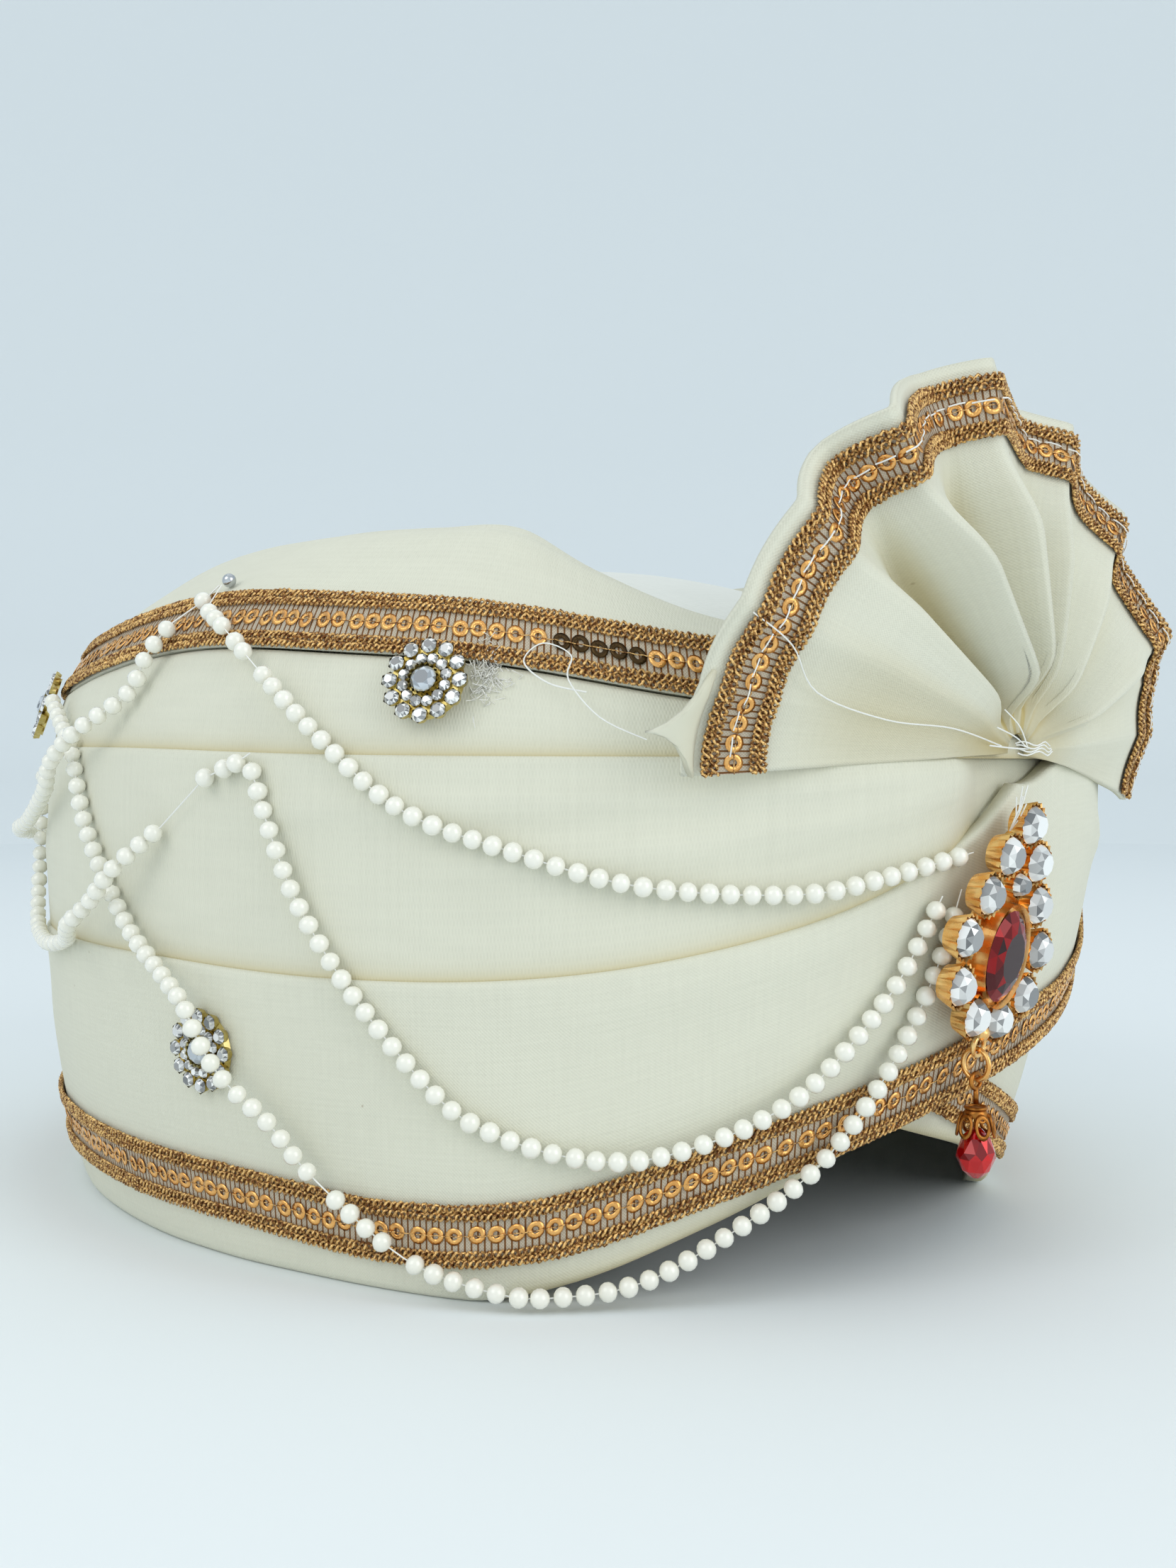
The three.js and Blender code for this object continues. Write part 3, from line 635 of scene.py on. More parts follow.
def sew_trim(name, node, lay, length, tarnished=lambda along: False):
    """Net, braid in looped pairs, stitching thread and ring sequins, laid along a ribbon."""
    chance = random.Random(name)
    bm = bmesh.new()
    weave = bm.loops.layers.uv.new("weave")
    bmesh.ops.create_grid(bm, x_segments=round(length / NET_STEP), y_segments=6, size=0.5)
    for face in bm.faces:
        face.smooth = True
        for loop in face.loops:
            loop[weave].uv = ((loop.vert.co.x + 0.5) * length * MM, loop.vert.co.y * NET_WIDTH * MM)
    for vert in bm.verts:
        vert.co = lay((vert.co.x + 0.5) * length, vert.co.y * NET_WIDTH, NET_LIFT)
    count = round(length / BRAID_STEP)
    lines = []
    for row, across in enumerate(BRAID_ROWS):
        for phase in (0, math.pi):
            line = []
            for i in range(count + 1):
                along = length * i / count
                sway = 2 * math.pi * along / BRAID_PITCH + phase + row * 1.3
                wander = BRAID_WANDER * noise.noise(Vector((along / 2.3, across, phase)))
                line.append(lay(along, across + wander + BRAID_SWAY * math.sin(sway),
                                BRAID_LIFT + BRAID_RISE * math.cos(sway)))
            lines.append(line)
    take_in(bm, cord_mesh(lines, 2 * BRAID_CORD), 1)
    thread = [lay(length * i / count, 0.1 * math.sin(i), STITCHING_LIFT) for i in range(0, count + 1, 3)]
    take_in(bm, cord_mesh([thread], STITCHING), 1)
    along = TRIM_END
    while along < length - TRIM_END:
        unit = sequin_unit.copy()
        tip = chance.uniform(-SEQUIN_TILT, SEQUIN_TILT)
        lean = chance.uniform(-SEQUIN_TILT, SEQUIN_TILT)
        shift = chance.uniform(-SEQUIN_SHIFT, SEQUIN_SHIFT)
        for vert in unit.vertices:
            x, y, z = vert.co
            vert.co = lay(along + x, shift + y, SEQUIN_LIFT + z + tip * x + lean * y)
        take_in(bm, unit, 3 if tarnished(along) else 2)
        along += SEQUIN_RADIUS * 2 + chance.choice(SEQUIN_SPACES)
    finishes = [net_finish, braid_finish, sequin_finish, dark_sequin_finish]
    return piece_from(bm, name, finishes, "turban", "braid", node)


DARK_START, DARK_END = -41.5, -33.5
lay, length, angle_at = ribbon_on_wall(
    lambda angle: upper_trim_line(side(angle)) + GAP, -180, 180, lambda angle: -TRIM_SEAT)
sew_trim("upper_sequin_trim", "upper_trim", lay, length,
         lambda along: DARK_START < angle_at(along) < DARK_END)
lay, length, angle_at = ribbon_on_wall(lower_trim_line, -179.9, NEAR_END, tucked_end)
sew_trim("lower_sequin_trim", "lower_trim", lay, length)
lay, length, angle_at = ribbon_on_wall(far_trim_line, CROSS_START, 179.7, far_inset)
sew_trim("far_sequin_trim", "far_trim", lay, length)

# The fan. A stiffened strip of the same cloth is pleated, gathered at the knot and opened out
# upright, with a narrow bound border outside its trim.
PLEATS = [(184, 20), (171, 15), (160, 8), (145, 3), (134, 8), (128, -4), (108, 9), (99, 1), (77, 15),
          (67, 9.5), (57, 15), (45, 11), (38, 16), (22, 10), (15, 14.5), (4, 17), (-9, 21)]
KNOT, REACH, FAN_HUB, FAN_CLOTH, FAN_BORDER = (-1.5, -122.4, 88.7), 66, 0.05, 1.2, 2.6
LAST_FOLD = len(PLEATS) - 1
FOLD_STEPS, FAN_ROWS, FOLD_ROUND = 10, 34, 0.09
PANEL_BOW, PANEL_WAVE, KNOT_PROUD, SHARPEN = 0.9, 0.5, 2.8, 1.1
AROUND = (-1.5, -1, -0.5, 0, 0.5, 1, 1.5)
FLAP, FLAP_FOLDS, FLAP_BULGE, FLAP_SHADE = Vector((-6.2, 2, -0.5)), 1.2, 1.6, 0.25


def fan_row(fold):
    """Direction and set-back at a fold number, with the fold lines a little rounded."""
    read = []
    for shift in (-FOLD_ROUND, 0, FOLD_ROUND):
        q = min(max(fold + shift, 0), LAST_FOLD)
        i = min(int(q), LAST_FOLD - 1)
        read.append([a + (b - a) * (q - i) for a, b in zip(PLEATS[i], PLEATS[i + 1])])
    return [sum(column) / 3 for column in zip(*read)]


def fan_point(fold, share, front):
    """A place on the fan, by fold number, share of the reach and mm in front of the cloth's middle."""
    direction, back = fan_row(fold)
    turned = math.radians(direction)
    flat = math.sqrt(REACH**2 - back**2) * share
    wave = PANEL_WAVE * noise.noise(Vector((fold * 0.7, share * 3, 2.2)))
    bow = (PANEL_BOW * math.sin(math.pi * (fold % 1)) + wave) * share
    around = sum(fan_row(fold + step)[1] for step in AROUND) / len(AROUND)
    sharper = (back - around) * SHARPEN * ramp(share, 0.08, 0.25) * (1 - ramp(share, 0.55, 0.82))
    y = KNOT[1] - KNOT_PROUD * ramp(share, FAN_HUB, 0.3) + back * share**1.5 - front + bow + sharper
    return place(KNOT[0] + flat * math.cos(turned), y, KNOT[2] + flat * math.sin(turned))


bm = bmesh.new()
weave = bm.loops.layers.uv.new("weave")
deep = bm.verts.layers.float.new("deep")
bmesh.ops.create_grid(bm, x_segments=LAST_FOLD * FOLD_STEPS, y_segments=FAN_ROWS, size=0.5)
spread = [0]
for i in range(LAST_FOLD * FOLD_STEPS):
    panel = fan_point((i + 1) / FOLD_STEPS, 0.75, 0) - fan_point(i / FOLD_STEPS, 0.75, 0)
    spread.append(spread[-1] + panel.length)
for face in bm.faces:
    face.smooth = True
    for loop in face.loops:
        step = round((loop.vert.co.x + 0.5) * LAST_FOLD * FOLD_STEPS)
        loop[weave].uv = (spread[step], (loop.vert.co.y + 0.5) * REACH * MM)
for vert in bm.verts:
    fold, share = (vert.co.x + 0.5) * LAST_FOLD, FAN_HUB + (1 - FAN_HUB) * (vert.co.y + 0.5)
    vert.co = fan_point(fold, share, FAN_CLOTH / 2)
    # Painted shade: the cloth's colour darkens where it gathers into the knot and along the pleat valleys
    # near it.
    valley = fan_row(fold)[1] - min(fan_row(fold - 0.9)[1], fan_row(fold + 0.9)[1])
    painted_knot_shade = 0.7 * (1 - ramp(share, 0.05, 0.3))
    vert[deep] = painted_knot_shade + 0.75 * ramp(valley, 1, 9) * (1 - ramp(share, 0.5, 0.85))
flap_tip = fan_point(0.55, 1, 0) + FLAP * MM
for vert in bmesh.ops.create_grid(bm, x_segments=10, y_segments=6, size=0.5)["verts"]:
    down, out = vert.co.x + 0.5, (vert.co.y + 0.5) * (1 - abs(2 * vert.co.x) ** 1.4)
    hinge = fan_point(FLAP_FOLDS * down, 0.985, 0.2)
    vert.co = hinge.lerp(flap_tip, out) + Vector((0, -FLAP_BULGE * math.sin(math.pi * out), 0)) * MM
    # Painted shade on the flap, darkest at its fold.
    vert[deep] = FLAP_SHADE * (1 - out)
bmesh.ops.recalc_face_normals(bm, faces=bm.faces)
if sum(face.normal.y for face in bm.faces) > 0:
    bmesh.ops.reverse_faces(bm, faces=bm.faces)
bmesh.ops.solidify(bm, geom=bm.faces[:] + bm.edges[:] + bm.verts[:], thickness=FAN_CLOTH * MM)
smooth_faces(bm)
fan = piece_from(bm, "fan_cloth", [cloth_finish], "turban", "cloth", "fan")

trim_middle = 1 - (FAN_BORDER + TRIM_WIDTH / 2) / REACH
RUN_STEPS, NEXT_FOLD, NEXT_SHARE = 20, 0.2, 0.02
fan_folds = [i / RUN_STEPS for i in range(LAST_FOLD * RUN_STEPS + 1)]
fan_line = [fan_point(fold, trim_middle, FAN_CLOTH / 2) for fold in fan_folds]
fan_run = run_along(fan_line)


def lay_on_fan(along, across, out):
    fold = float(np.interp(along, fan_run, fan_folds))
    share = trim_middle + across / REACH
    after, before = min(fold + NEXT_FOLD, LAST_FOLD), max(fold - NEXT_FOLD, 0)
    sideways = fan_point(after, share, 0) - fan_point(before, share, 0)
    upward = fan_point(fold, share + NEXT_SHARE, 0) - fan_point(fold, share - NEXT_SHARE, 0)
    facing = sideways.cross(upward).normalized()
    if facing.y > 0:
        facing = -facing
    return fan_point(fold, share, FAN_CLOTH / 2) + facing * (out + TRIM_SEAT) * MM


sew_trim("fan_sequin_trim", "fan_trim", lay_on_fan, float(fan_run[-1]))

# White sewing thread: the running stitch along the fan's trim, the turns that gather the knot, and
# the loose ends that were never cut.
thread_finish, flow, sockets = new_finish("white_thread", {"Roughness": 0.6, "Sheen Weight": 0.2})
twist = flow.mottle(900.0)
twist.mix(colour(236, 236, 230), colour(250, 250, 246)).into(sockets["Base Color"])
THREAD, STITCH_SPACE, STITCH_START = 0.28, 4.3, 3.0
STITCH, STITCH_LIFT, STITCH_SLACK = (0, 1.1, 2.2, 3.2), 1.25, 0.25
KNOT_TURNS, TURN_POINTS, TURN_REACH = 4, 12, 5
TUFT = ((9, 4), (7, 7), (11, 1))
# The curl lies on the cloth by angle, height and mm out; the other thread by fold, share and mm in front.
CURL = [(-38, 98, 3), (-41, 99.5, 3.2), (-43, 103, 3.4), (-41.5, 106, 3.4), (-39.2, 104, 3.6),
        (-39.4, 100, 3.6), (-37, 94, 3.2), (-33.5, 90.5, 3)]
ACROSS_FAN = [(1.9, 0.97, 1.6), (1.7, 0.85, 3.2), (1.2, 0.72, 1.8), (1.0, 0.5, 1.4), (1.2, 0.3, 1.4),
              (1.0, 0.1, 1.6)]


def by_knot(x, y, z):
    return place(KNOT[0] + x, KNOT[1] + y, KNOT[2] + z)


threads = []
along = STITCH_START
while along < fan_run[-1] - 4:
    across = 0.9 + 0.2 * math.sin(along)
    threads.append([lay_on_fan(along + step, across, STITCH_LIFT + STITCH_SLACK * math.sin(step))
                    for step in STITCH])
    along += STITCH_SPACE
for turn in range(KNOT_TURNS):
    threads.append([by_knot(step * 0.9 - TURN_REACH,
                            -3.2 - 1.2 * math.sin(step / (TURN_POINTS - 1) * math.pi) - 0.15 * turn,
                            1.4 - turn * 0.55 + 0.35 * math.sin(step + turn)) for step in range(TURN_POINTS)])
for reach, lift in TUFT:
    threads.append(soft_line([by_knot(-2, -3.6, 0.5), by_knot(-2 - reach * 0.5, -4.4, lift * 0.6),
                              by_knot(-2 - reach, -3.9, lift)], 6))
curl = [at(angle, cloth_radius(angle, height) + out, height) for angle, height, out in CURL]
threads.append(soft_line(curl, 6))
threads.append(soft_line([fan_point(*spot) for spot in ACROSS_FAN], 6))
bm = bmesh.new()
take_in(bm, cord_mesh(threads, THREAD), 0)
piece_from(bm, "sewing_threads", [thread_finish], "turban", "cloth")

# The brooch. Clear stones in milled cups are soldered round a dark red oval stone in a plain bezel,
# on a thin plate that is sewn close to the cloth.
CUP_RADIUS, CUP_HEIGHT, CUP_WALL, CUP_TEETH, TOOTH_OUT, TOOTH_IN = 3.8, 3.2, 0.55, 16, 1.08, 0.93
RED_WIDTH, RED_HEIGHT, RED_SEAT, BEZEL_TALL = 12, 16, 2.4, 4.2
PLATE, LOOP_RADIUS, LOOP_WIRE, LOOP_OUT, LOOP_DOWN = 0.9, 1.7, 0.45, 2.6, 15.6
# Brightness steps painted on the stone facets as reflections.
FLASHES = (0.05, 0.3, 0.55, 0.75, 0.95, 1.0)
brooch_frame = (Matrix.Translation(place(-9.1, -121.75, 55.2)) @ Matrix.Rotation(math.radians(6.6), 4, "Z")
                @ Matrix.Rotation(math.radians(99.3), 4, "X") @ Matrix.Rotation(math.radians(-9.5), 4, "Z")
                @ Matrix.Scale(MM, 4))
STONES = [(0, 22.3, 1), (-5, 16.4, 1), (5, 16.4, 1), (0, 12.1, 0.66), (-8.5, 9.4, 1), (8.5, 9.4, 1),
          (-12.6, 1.9, 1), (12.6, 1.9, 1), (-11, -6.1, 1), (11, -6.1, 1), (-4, -10.9, 1), (4, -10.9, 1)]


def metal_finish(name, low_tone, high_tone, roughness):
    material, flow, sockets = new_finish(name, {"Metallic": 1.0})
    worn = flow.mottle(380.0, 3.0)
    ((worn - 0.3) * 2.2).clamped().mix(low_tone, high_tone).into(sockets["Base Color"])
    (roughness + worn * 0.16).into(sockets["Roughness"])
    return material


def stone_finish(name, dull, bright, gloss):
    """Foiled glass with painted reflections: each facet's painted flash sets its colour from dull to bright
    and part of its metal look.
    """
    material, flow, sockets = new_finish(name, {
        "Roughness": 0.04, "Coat Weight": gloss, "Coat Roughness": 0.02, "Specular IOR Level": 0.8 * gloss})
    flash = flow.node("ShaderNodeAttribute", {"attribute_name": "facet"}, output=2)
    (flash ** 1.4).mix(dull, bright).into(sockets["Base Color"])
    (flash * 0.35).into(sockets["Metallic"])
    return material


gold_finish = metal_finish("orange_gold", colour(240, 172, 92), colour(255, 222, 156), 0.2)
clear_finish = stone_finish("clear_glass", colour(96, 98, 100), colour(252, 252, 250), 1.0)
red_finish = stone_finish("red_glass", colour(34, 0, 4), colour(150, 6, 12), 0.3)


def sink_top(bm, made, wall, depth, frame_at):
    """Presses the top of a cone in, leaves a wall round it and puts the cup in its place."""
    sides = {face for vert in made for face in vert.link_faces}
    top = max(sides, key=lambda face: face.calc_center_median().z)
    rim = bmesh.ops.inset_region(bm, faces=[top], thickness=wall)["faces"]
    bmesh.ops.translate(bm, verts=top.verts, vec=(0, 0, -depth))
    pressed = {*made, *(vert for face in rim for vert in face.verts)}
    bmesh.ops.transform(bm, matrix=frame_at, verts=list(pressed))


def milled_cup(bm, frame_at, radius, height, wall, teeth):
    """A cup with a milled rim, its floor pressed in."""
    made = bmesh.ops.create_cone(bm, cap_ends=True, segments=2 * teeth, radius1=radius * 0.8, radius2=radius,
                                 depth=height, matrix=Matrix.Translation((0, 0, height / 2)))["verts"]
    for vert in made:
        if vert.co.z > height / 2:
            turned = round(math.atan2(vert.co.y, vert.co.x) / math.pi * teeth)
            vert.co.xy *= TOOTH_OUT if turned % 2 else TOOTH_IN
    sink_top(bm, made, wall, height * 0.45, frame_at)


def cut_stone(bm, frame_at, levels):
    """Flat facets between rings of corners: each ring's radius, height, corners and turn."""
    made = []
    for radius, height, count, turn in levels:
        for i in range(count):
            turned = (i + turn) / count * 2 * math.pi
            made.append(bm.verts.new(
                frame_at @ Vector((radius * math.cos(turned), radius * math.sin(turned), height))))
    bmesh.ops.convex_hull(bm, input=made)


def facet_stone(bm, frame_at, radius, rise, depth, sides=8):
    """A brilliant-cut stone: table, star and main facets, girdle and back."""
    cut_stone(bm, frame_at, ((radius * 0.55, rise, sides, 0.5), (radius * 0.8, rise * 0.6, sides, 0),
                             (radius, 0, 2 * sides, 0.5), (radius * 0.6, -depth, sides, 0.5)))


def facet_piece(bm, name, finish, body, slot, *nodes):
    """Flat facets, each with its own painted flash, a brightness that stands in for its reflection."""
    bmesh.ops.dissolve_limit(bm, angle_limit=0.02, verts=bm.verts, edges=bm.edges)
    bmesh.ops.recalc_face_normals(bm, faces=bm.faces)
    chance = random.Random(name)
    flash = bm.faces.layers.float.new("facet")
    for face in bm.faces:
        face[flash] = chance.choice(FLASHES)
        face.smooth = False
    return piece_from(bm, name, [finish], body, slot, *nodes)


def wire_ring(bm, frame_at, radius, wire, steps=28):
    known = set(bm.verts)
    section = Matrix.Translation((radius, 0, 0)) @ Matrix.Rotation(math.pi / 2, 4, "X")
    round_wire = bmesh.ops.create_circle(bm, segments=8, radius=wire, matrix=section)["verts"]
    edges = list({edge for vert in round_wire for edge in vert.link_edges})
    bmesh.ops.spin(bm, geom=round_wire + edges, cent=(0, 0, 0), axis=(0, 0, 1), angle=2 * math.pi,
                   steps=steps, use_merge=True)
    bmesh.ops.transform(bm, matrix=frame_at, verts=[vert for vert in bm.verts if vert not in known])


bm = bmesh.new()
for x, y, scale in STONES:
    milled_cup(bm, brooch_frame @ Matrix.Translation((x, y, 0.1)), CUP_RADIUS * scale, CUP_HEIGHT, CUP_WALL,
               CUP_TEETH)
made = bmesh.ops.create_cone(bm, cap_ends=True, segments=56, radius1=1.14, radius2=1.12, depth=BEZEL_TALL,
                             matrix=Matrix.Translation((0, 0, BEZEL_TALL / 2)))["verts"]
sink_top(bm, made, 0.1, 1.4, brooch_frame @ Matrix.Diagonal((RED_WIDTH / 2, RED_HEIGHT / 2, 1, 1)))
for radius, up, tall in ((9.4, 0, 1.25), (4.6, 16.6, 1)):
    plate_frame = brooch_frame @ Matrix.Translation((0, up, 0.5)) @ Matrix.Diagonal((1, tall, 1, 1))
    bmesh.ops.create_cone(bm, cap_ends=True, segments=40, radius1=radius, radius2=radius, depth=PLATE,
                          matrix=plate_frame)
wire_ring(bm, brooch_frame @ Matrix.Translation((0, -LOOP_DOWN, LOOP_OUT)), LOOP_RADIUS, LOOP_WIRE)
bmesh.ops.create_uvsphere(bm, u_segments=14, v_segments=8, radius=1.4,
                          matrix=brooch_frame @ Matrix.Translation((0, -13.4, LOOP_OUT)))
bmesh.ops.recalc_face_normals(bm, faces=bm.faces)
for face in bm.faces:
    face.smooth = len(face.verts) == 4 and face.calc_area() < 1.5e-7
piece_from(bm, "brooch_metal", [gold_finish], "turban", "gold", "brooch_setting")

bm = bmesh.new()
for x, y, scale in STONES:
    facet_stone(bm, brooch_frame @ Matrix.Translation((x, y, CUP_HEIGHT - 0.2)), CUP_RADIUS * scale - 0.5,
                1.9, 1.0)
facet_piece(bm, "brooch_clear_stones", clear_finish, "turban", "clear_stone",
            *[f"clear_stone_{i:02d}" for i in range(1, len(STONES) + 1)])
bm = bmesh.new()
facet_stone(bm, brooch_frame @ Matrix.Translation((0, 0, RED_SEAT + 1.4))
            @ Matrix.Diagonal((RED_WIDTH / 2 * 0.98, RED_HEIGHT / 2 * 0.98, 1, 1)), 1, 1.5, 1.2, 12)
facet_piece(bm, "brooch_red_stone", red_finish, "turban", "red_stone", "red_stone")

SEWN_X, SEWN_Y = -3.5, 20.5
thread_ends = []
for lean, reach in ((-3.4, 5.5), (-2.2, 7.5), (-1.4, 6), (-0.6, 8), (0.4, 5)):
    thread_ends.append([brooch_frame @ Vector(spot) for spot in (
        (SEWN_X, SEWN_Y, 1), (SEWN_X + lean * 0.4, SEWN_Y + reach * 0.5, 2.2),
        (SEWN_X + lean, SEWN_Y + reach, 2.6))])
bm = bmesh.new()
take_in(bm, cord_mesh(thread_ends, THREAD), 0)
piece_from(bm, "brooch_thread_ends", [thread_finish], "turban", "cloth")

# The drop. A jump ring in the brooch's loop carries an eye wire, a pierced petal cap and a faceted
# red glass bead. It swings freely.
RING_RADIUS, RING_WIRE, RING_DOWN = 2.6, 0.45, 1.45
EYE_RADIUS, EYE_WIRE, PLAY = 1.3, 0.4, 0.25
CAP_DOWN, CAP_RIM_DOWN, PETALS, PETAL_DOWN, SCROLL_DOWN = 9.4, 8.7, 6, 11.6, 10.2
BEAD_SIDES = 10
BEAD_LEVELS = ((1.0, -12.2, 0), (2.3, -13.6, 0.5), (3.25, -15.9, 0), (3.3, -17.0, 0.5), (2.3, -19.2, 0),
               (0.9, -20.4, 0.5))
pivot = brooch_frame @ Vector((0, -LOOP_DOWN - LOOP_RADIUS, LOOP_OUT))
drop_frame = Matrix.Translation(pivot) @ Matrix.Scale(MM, 4)
wire_finish = metal_finish("dark_wire", colour(122, 72, 28), colour(206, 138, 66), 0.25)


def in_drop(x, z, turn=0, axis="X"):
    """A place in the drop, so far out and up from the pivot, turned there about an axis."""
    return drop_frame @ Matrix.Translation((x, 0, z)) @ Matrix.Rotation(turn, 4, axis)


bm = bmesh.new()
wire_ring(bm, in_drop(0, -RING_DOWN, math.pi / 2, "Y"), RING_RADIUS, RING_WIRE, 36)
bmesh.ops.recalc_face_normals(bm, faces=bm.faces)
smooth_faces(bm)
piece_from(bm, "jump_ring_wire", [gold_finish], "drop", "gold", "jump_ring")

bm = bmesh.new()
eye_middle = -RING_DOWN - RING_RADIUS + RING_WIRE + EYE_WIRE + PLAY - EYE_RADIUS
wire_ring(bm, in_drop(0, eye_middle, math.pi / 2, "X"), EYE_RADIUS, EYE_WIRE, 24)
bmesh.ops.create_cone(bm, cap_ends=True, segments=10, radius1=0.5, radius2=0.42, depth=2.8,
                      matrix=in_drop(0, eye_middle - 2.4))
bmesh.ops.create_cone(bm, cap_ends=True, segments=24, radius1=2.5, radius2=1.5, depth=1.5,
                      matrix=in_drop(0, -CAP_DOWN))
wire_ring(bm, in_drop(0, -CAP_RIM_DOWN), 1.75, 0.3, 24)
for petal in range(PETALS):
    turn = drop_frame @ Matrix.Rotation(petal * 2 * math.pi / PETALS, 4, "Z")
    leaf = turn @ Matrix.Translation((2.75, 0, -PETAL_DOWN)) @ Matrix.Rotation(math.radians(78), 4, "Y")
    wire_ring(bm, leaf @ Matrix.Diagonal((1.5, 0.95, 1, 1)), 1.15, 0.3, 16)
    scroll = turn @ Matrix.Translation((2.3, 0, -SCROLL_DOWN)) @ Matrix.Rotation(math.radians(60), 4, "Y")
    wire_ring(bm, scroll, 0.6, 0.26, 12)
bmesh.ops.recalc_face_normals(bm, faces=bm.faces)
for face in bm.faces:
    face.smooth = len(face.verts) == 4
piece_from(bm, "petal_cap", [wire_finish], "drop", "gold", "drop_cap")

bm = bmesh.new()
cut_stone(bm, drop_frame, [(radius, height, BEAD_SIDES, turn) for radius, height, turn in BEAD_LEVELS])
bead_finish = stone_finish("drop_glass", colour(120, 2, 6), colour(214, 12, 16), 0.5)
facet_piece(bm, "drop_glass_bead", bead_finish, "drop", "red_stone", "drop_bead")

# The rhinestone buttons. Pressed discs of pale gold hold one large stone and two rings of small ones
# in little cups, and are glued to the cloth; white glue shows beside the front one.
pale_finish = metal_finish("pale_gold", colour(168, 146, 72), colour(228, 212, 148), 0.22)
smoky_finish = stone_finish("smoky_glass", colour(92, 100, 108), colour(206, 214, 222), 1.0)
BUTTONS = [("button_front", -51, 99, 2), ("button_side", -74, 37.3, 0.5), ("button_back", -116, 98, 2)]
DISC_TALL, RING_STONES, RINGS = 1.0, 12, ((3.75, 1.0, 0.5), (6.05, 1.32, 0))


def seat(angle, height, out):
    """A frame on the wall, facing out, so far off it."""
    def on_wall(turn, rise):
        return at(angle + turn, wall_radius(angle + turn, height + rise), height + rise)

    across = (on_wall(1, 0) - on_wall(-1, 0)).normalized()
    facing = across.cross(on_wall(0, 1) - on_wall(0, -1)).normalized()
    turned = Matrix((across, facing.cross(across), facing)).transposed().to_4x4()
    return Matrix.Translation(on_wall(0, 0) + facing * out * MM) @ turned @ Matrix.Scale(MM, 4)


for node, angle, height, out in BUTTONS:
    place_of = seat(angle, height, out)
    metal, stones, centre = bmesh.new(), bmesh.new(), bmesh.new()
    bmesh.ops.create_cone(metal, cap_ends=True, segments=48, radius1=6.4, radius2=6.0, depth=DISC_TALL,
                          matrix=place_of @ Matrix.Translation((0, 0, DISC_TALL / 2)))
    milled_cup(metal, place_of @ Matrix.Translation((0, 0, 0.6)), 2.55, 1.7, 0.25, 16)
    facet_stone(centre, place_of @ Matrix.Translation((0, 0, 2.0)), 2.25, 1.0, 0.7)
    for ring, size, turn in RINGS:
        for i in range(RING_STONES):
            turned = (i + turn) / RING_STONES * 2 * math.pi
            spot = place_of @ Matrix.Translation((ring * math.cos(turned), ring * math.sin(turned), 0.4))
            milled_cup(metal, spot, size + 0.06, 1.2, 0.12, 6)
            facet_stone(stones, spot @ Matrix.Translation((0, 0, 1.15)), size, 0.66, 0.3, 6)
    bmesh.ops.recalc_face_normals(metal, faces=metal.faces)
    piece_from(metal, node + "_metal", [pale_finish], "turban", "pale_gold", node)
    facet_piece(stones, node + "_small_stones", clear_finish, "turban", "clear_stone")
    facet_piece(centre, node + "_large_stone", smoky_finish, "turban", "clear_stone")

glue_finish, flow, sockets = new_finish("dried_glue", {"Roughness": 0.6})
nap = flow.mottle(1400.0)
nap.mix(colour(226, 224, 214), colour(250, 249, 244)).into(sockets["Base Color"])
GLUE_STRANDS, GLUE_STRAND, GLUE_REACH = 260, 0.17, (0.9, 1.6)
GLUE_ANGLE, GLUE_HEIGHT = (-46.2, 0.75), (101.5, 2.6)
chance = random.Random(5)
fuzz = []
for i in range(GLUE_STRANDS):
    angle, height = chance.gauss(*GLUE_ANGLE), chance.gauss(*GLUE_HEIGHT)
    start = at(angle, cloth_radius(angle, height) + 0.2, height)
    stray = [start + Vector([chance.uniform(-1, 1) for _ in range(3)]) * reach * MM for reach in GLUE_REACH]
    fuzz.append([start, *stray])
bm = bmesh.new()
take_in(bm, cord_mesh(fuzz, GLUE_STRAND), 0)
piece_from(bm, "dried_glue_fuzz", [glue_finish], "turban", "cloth")

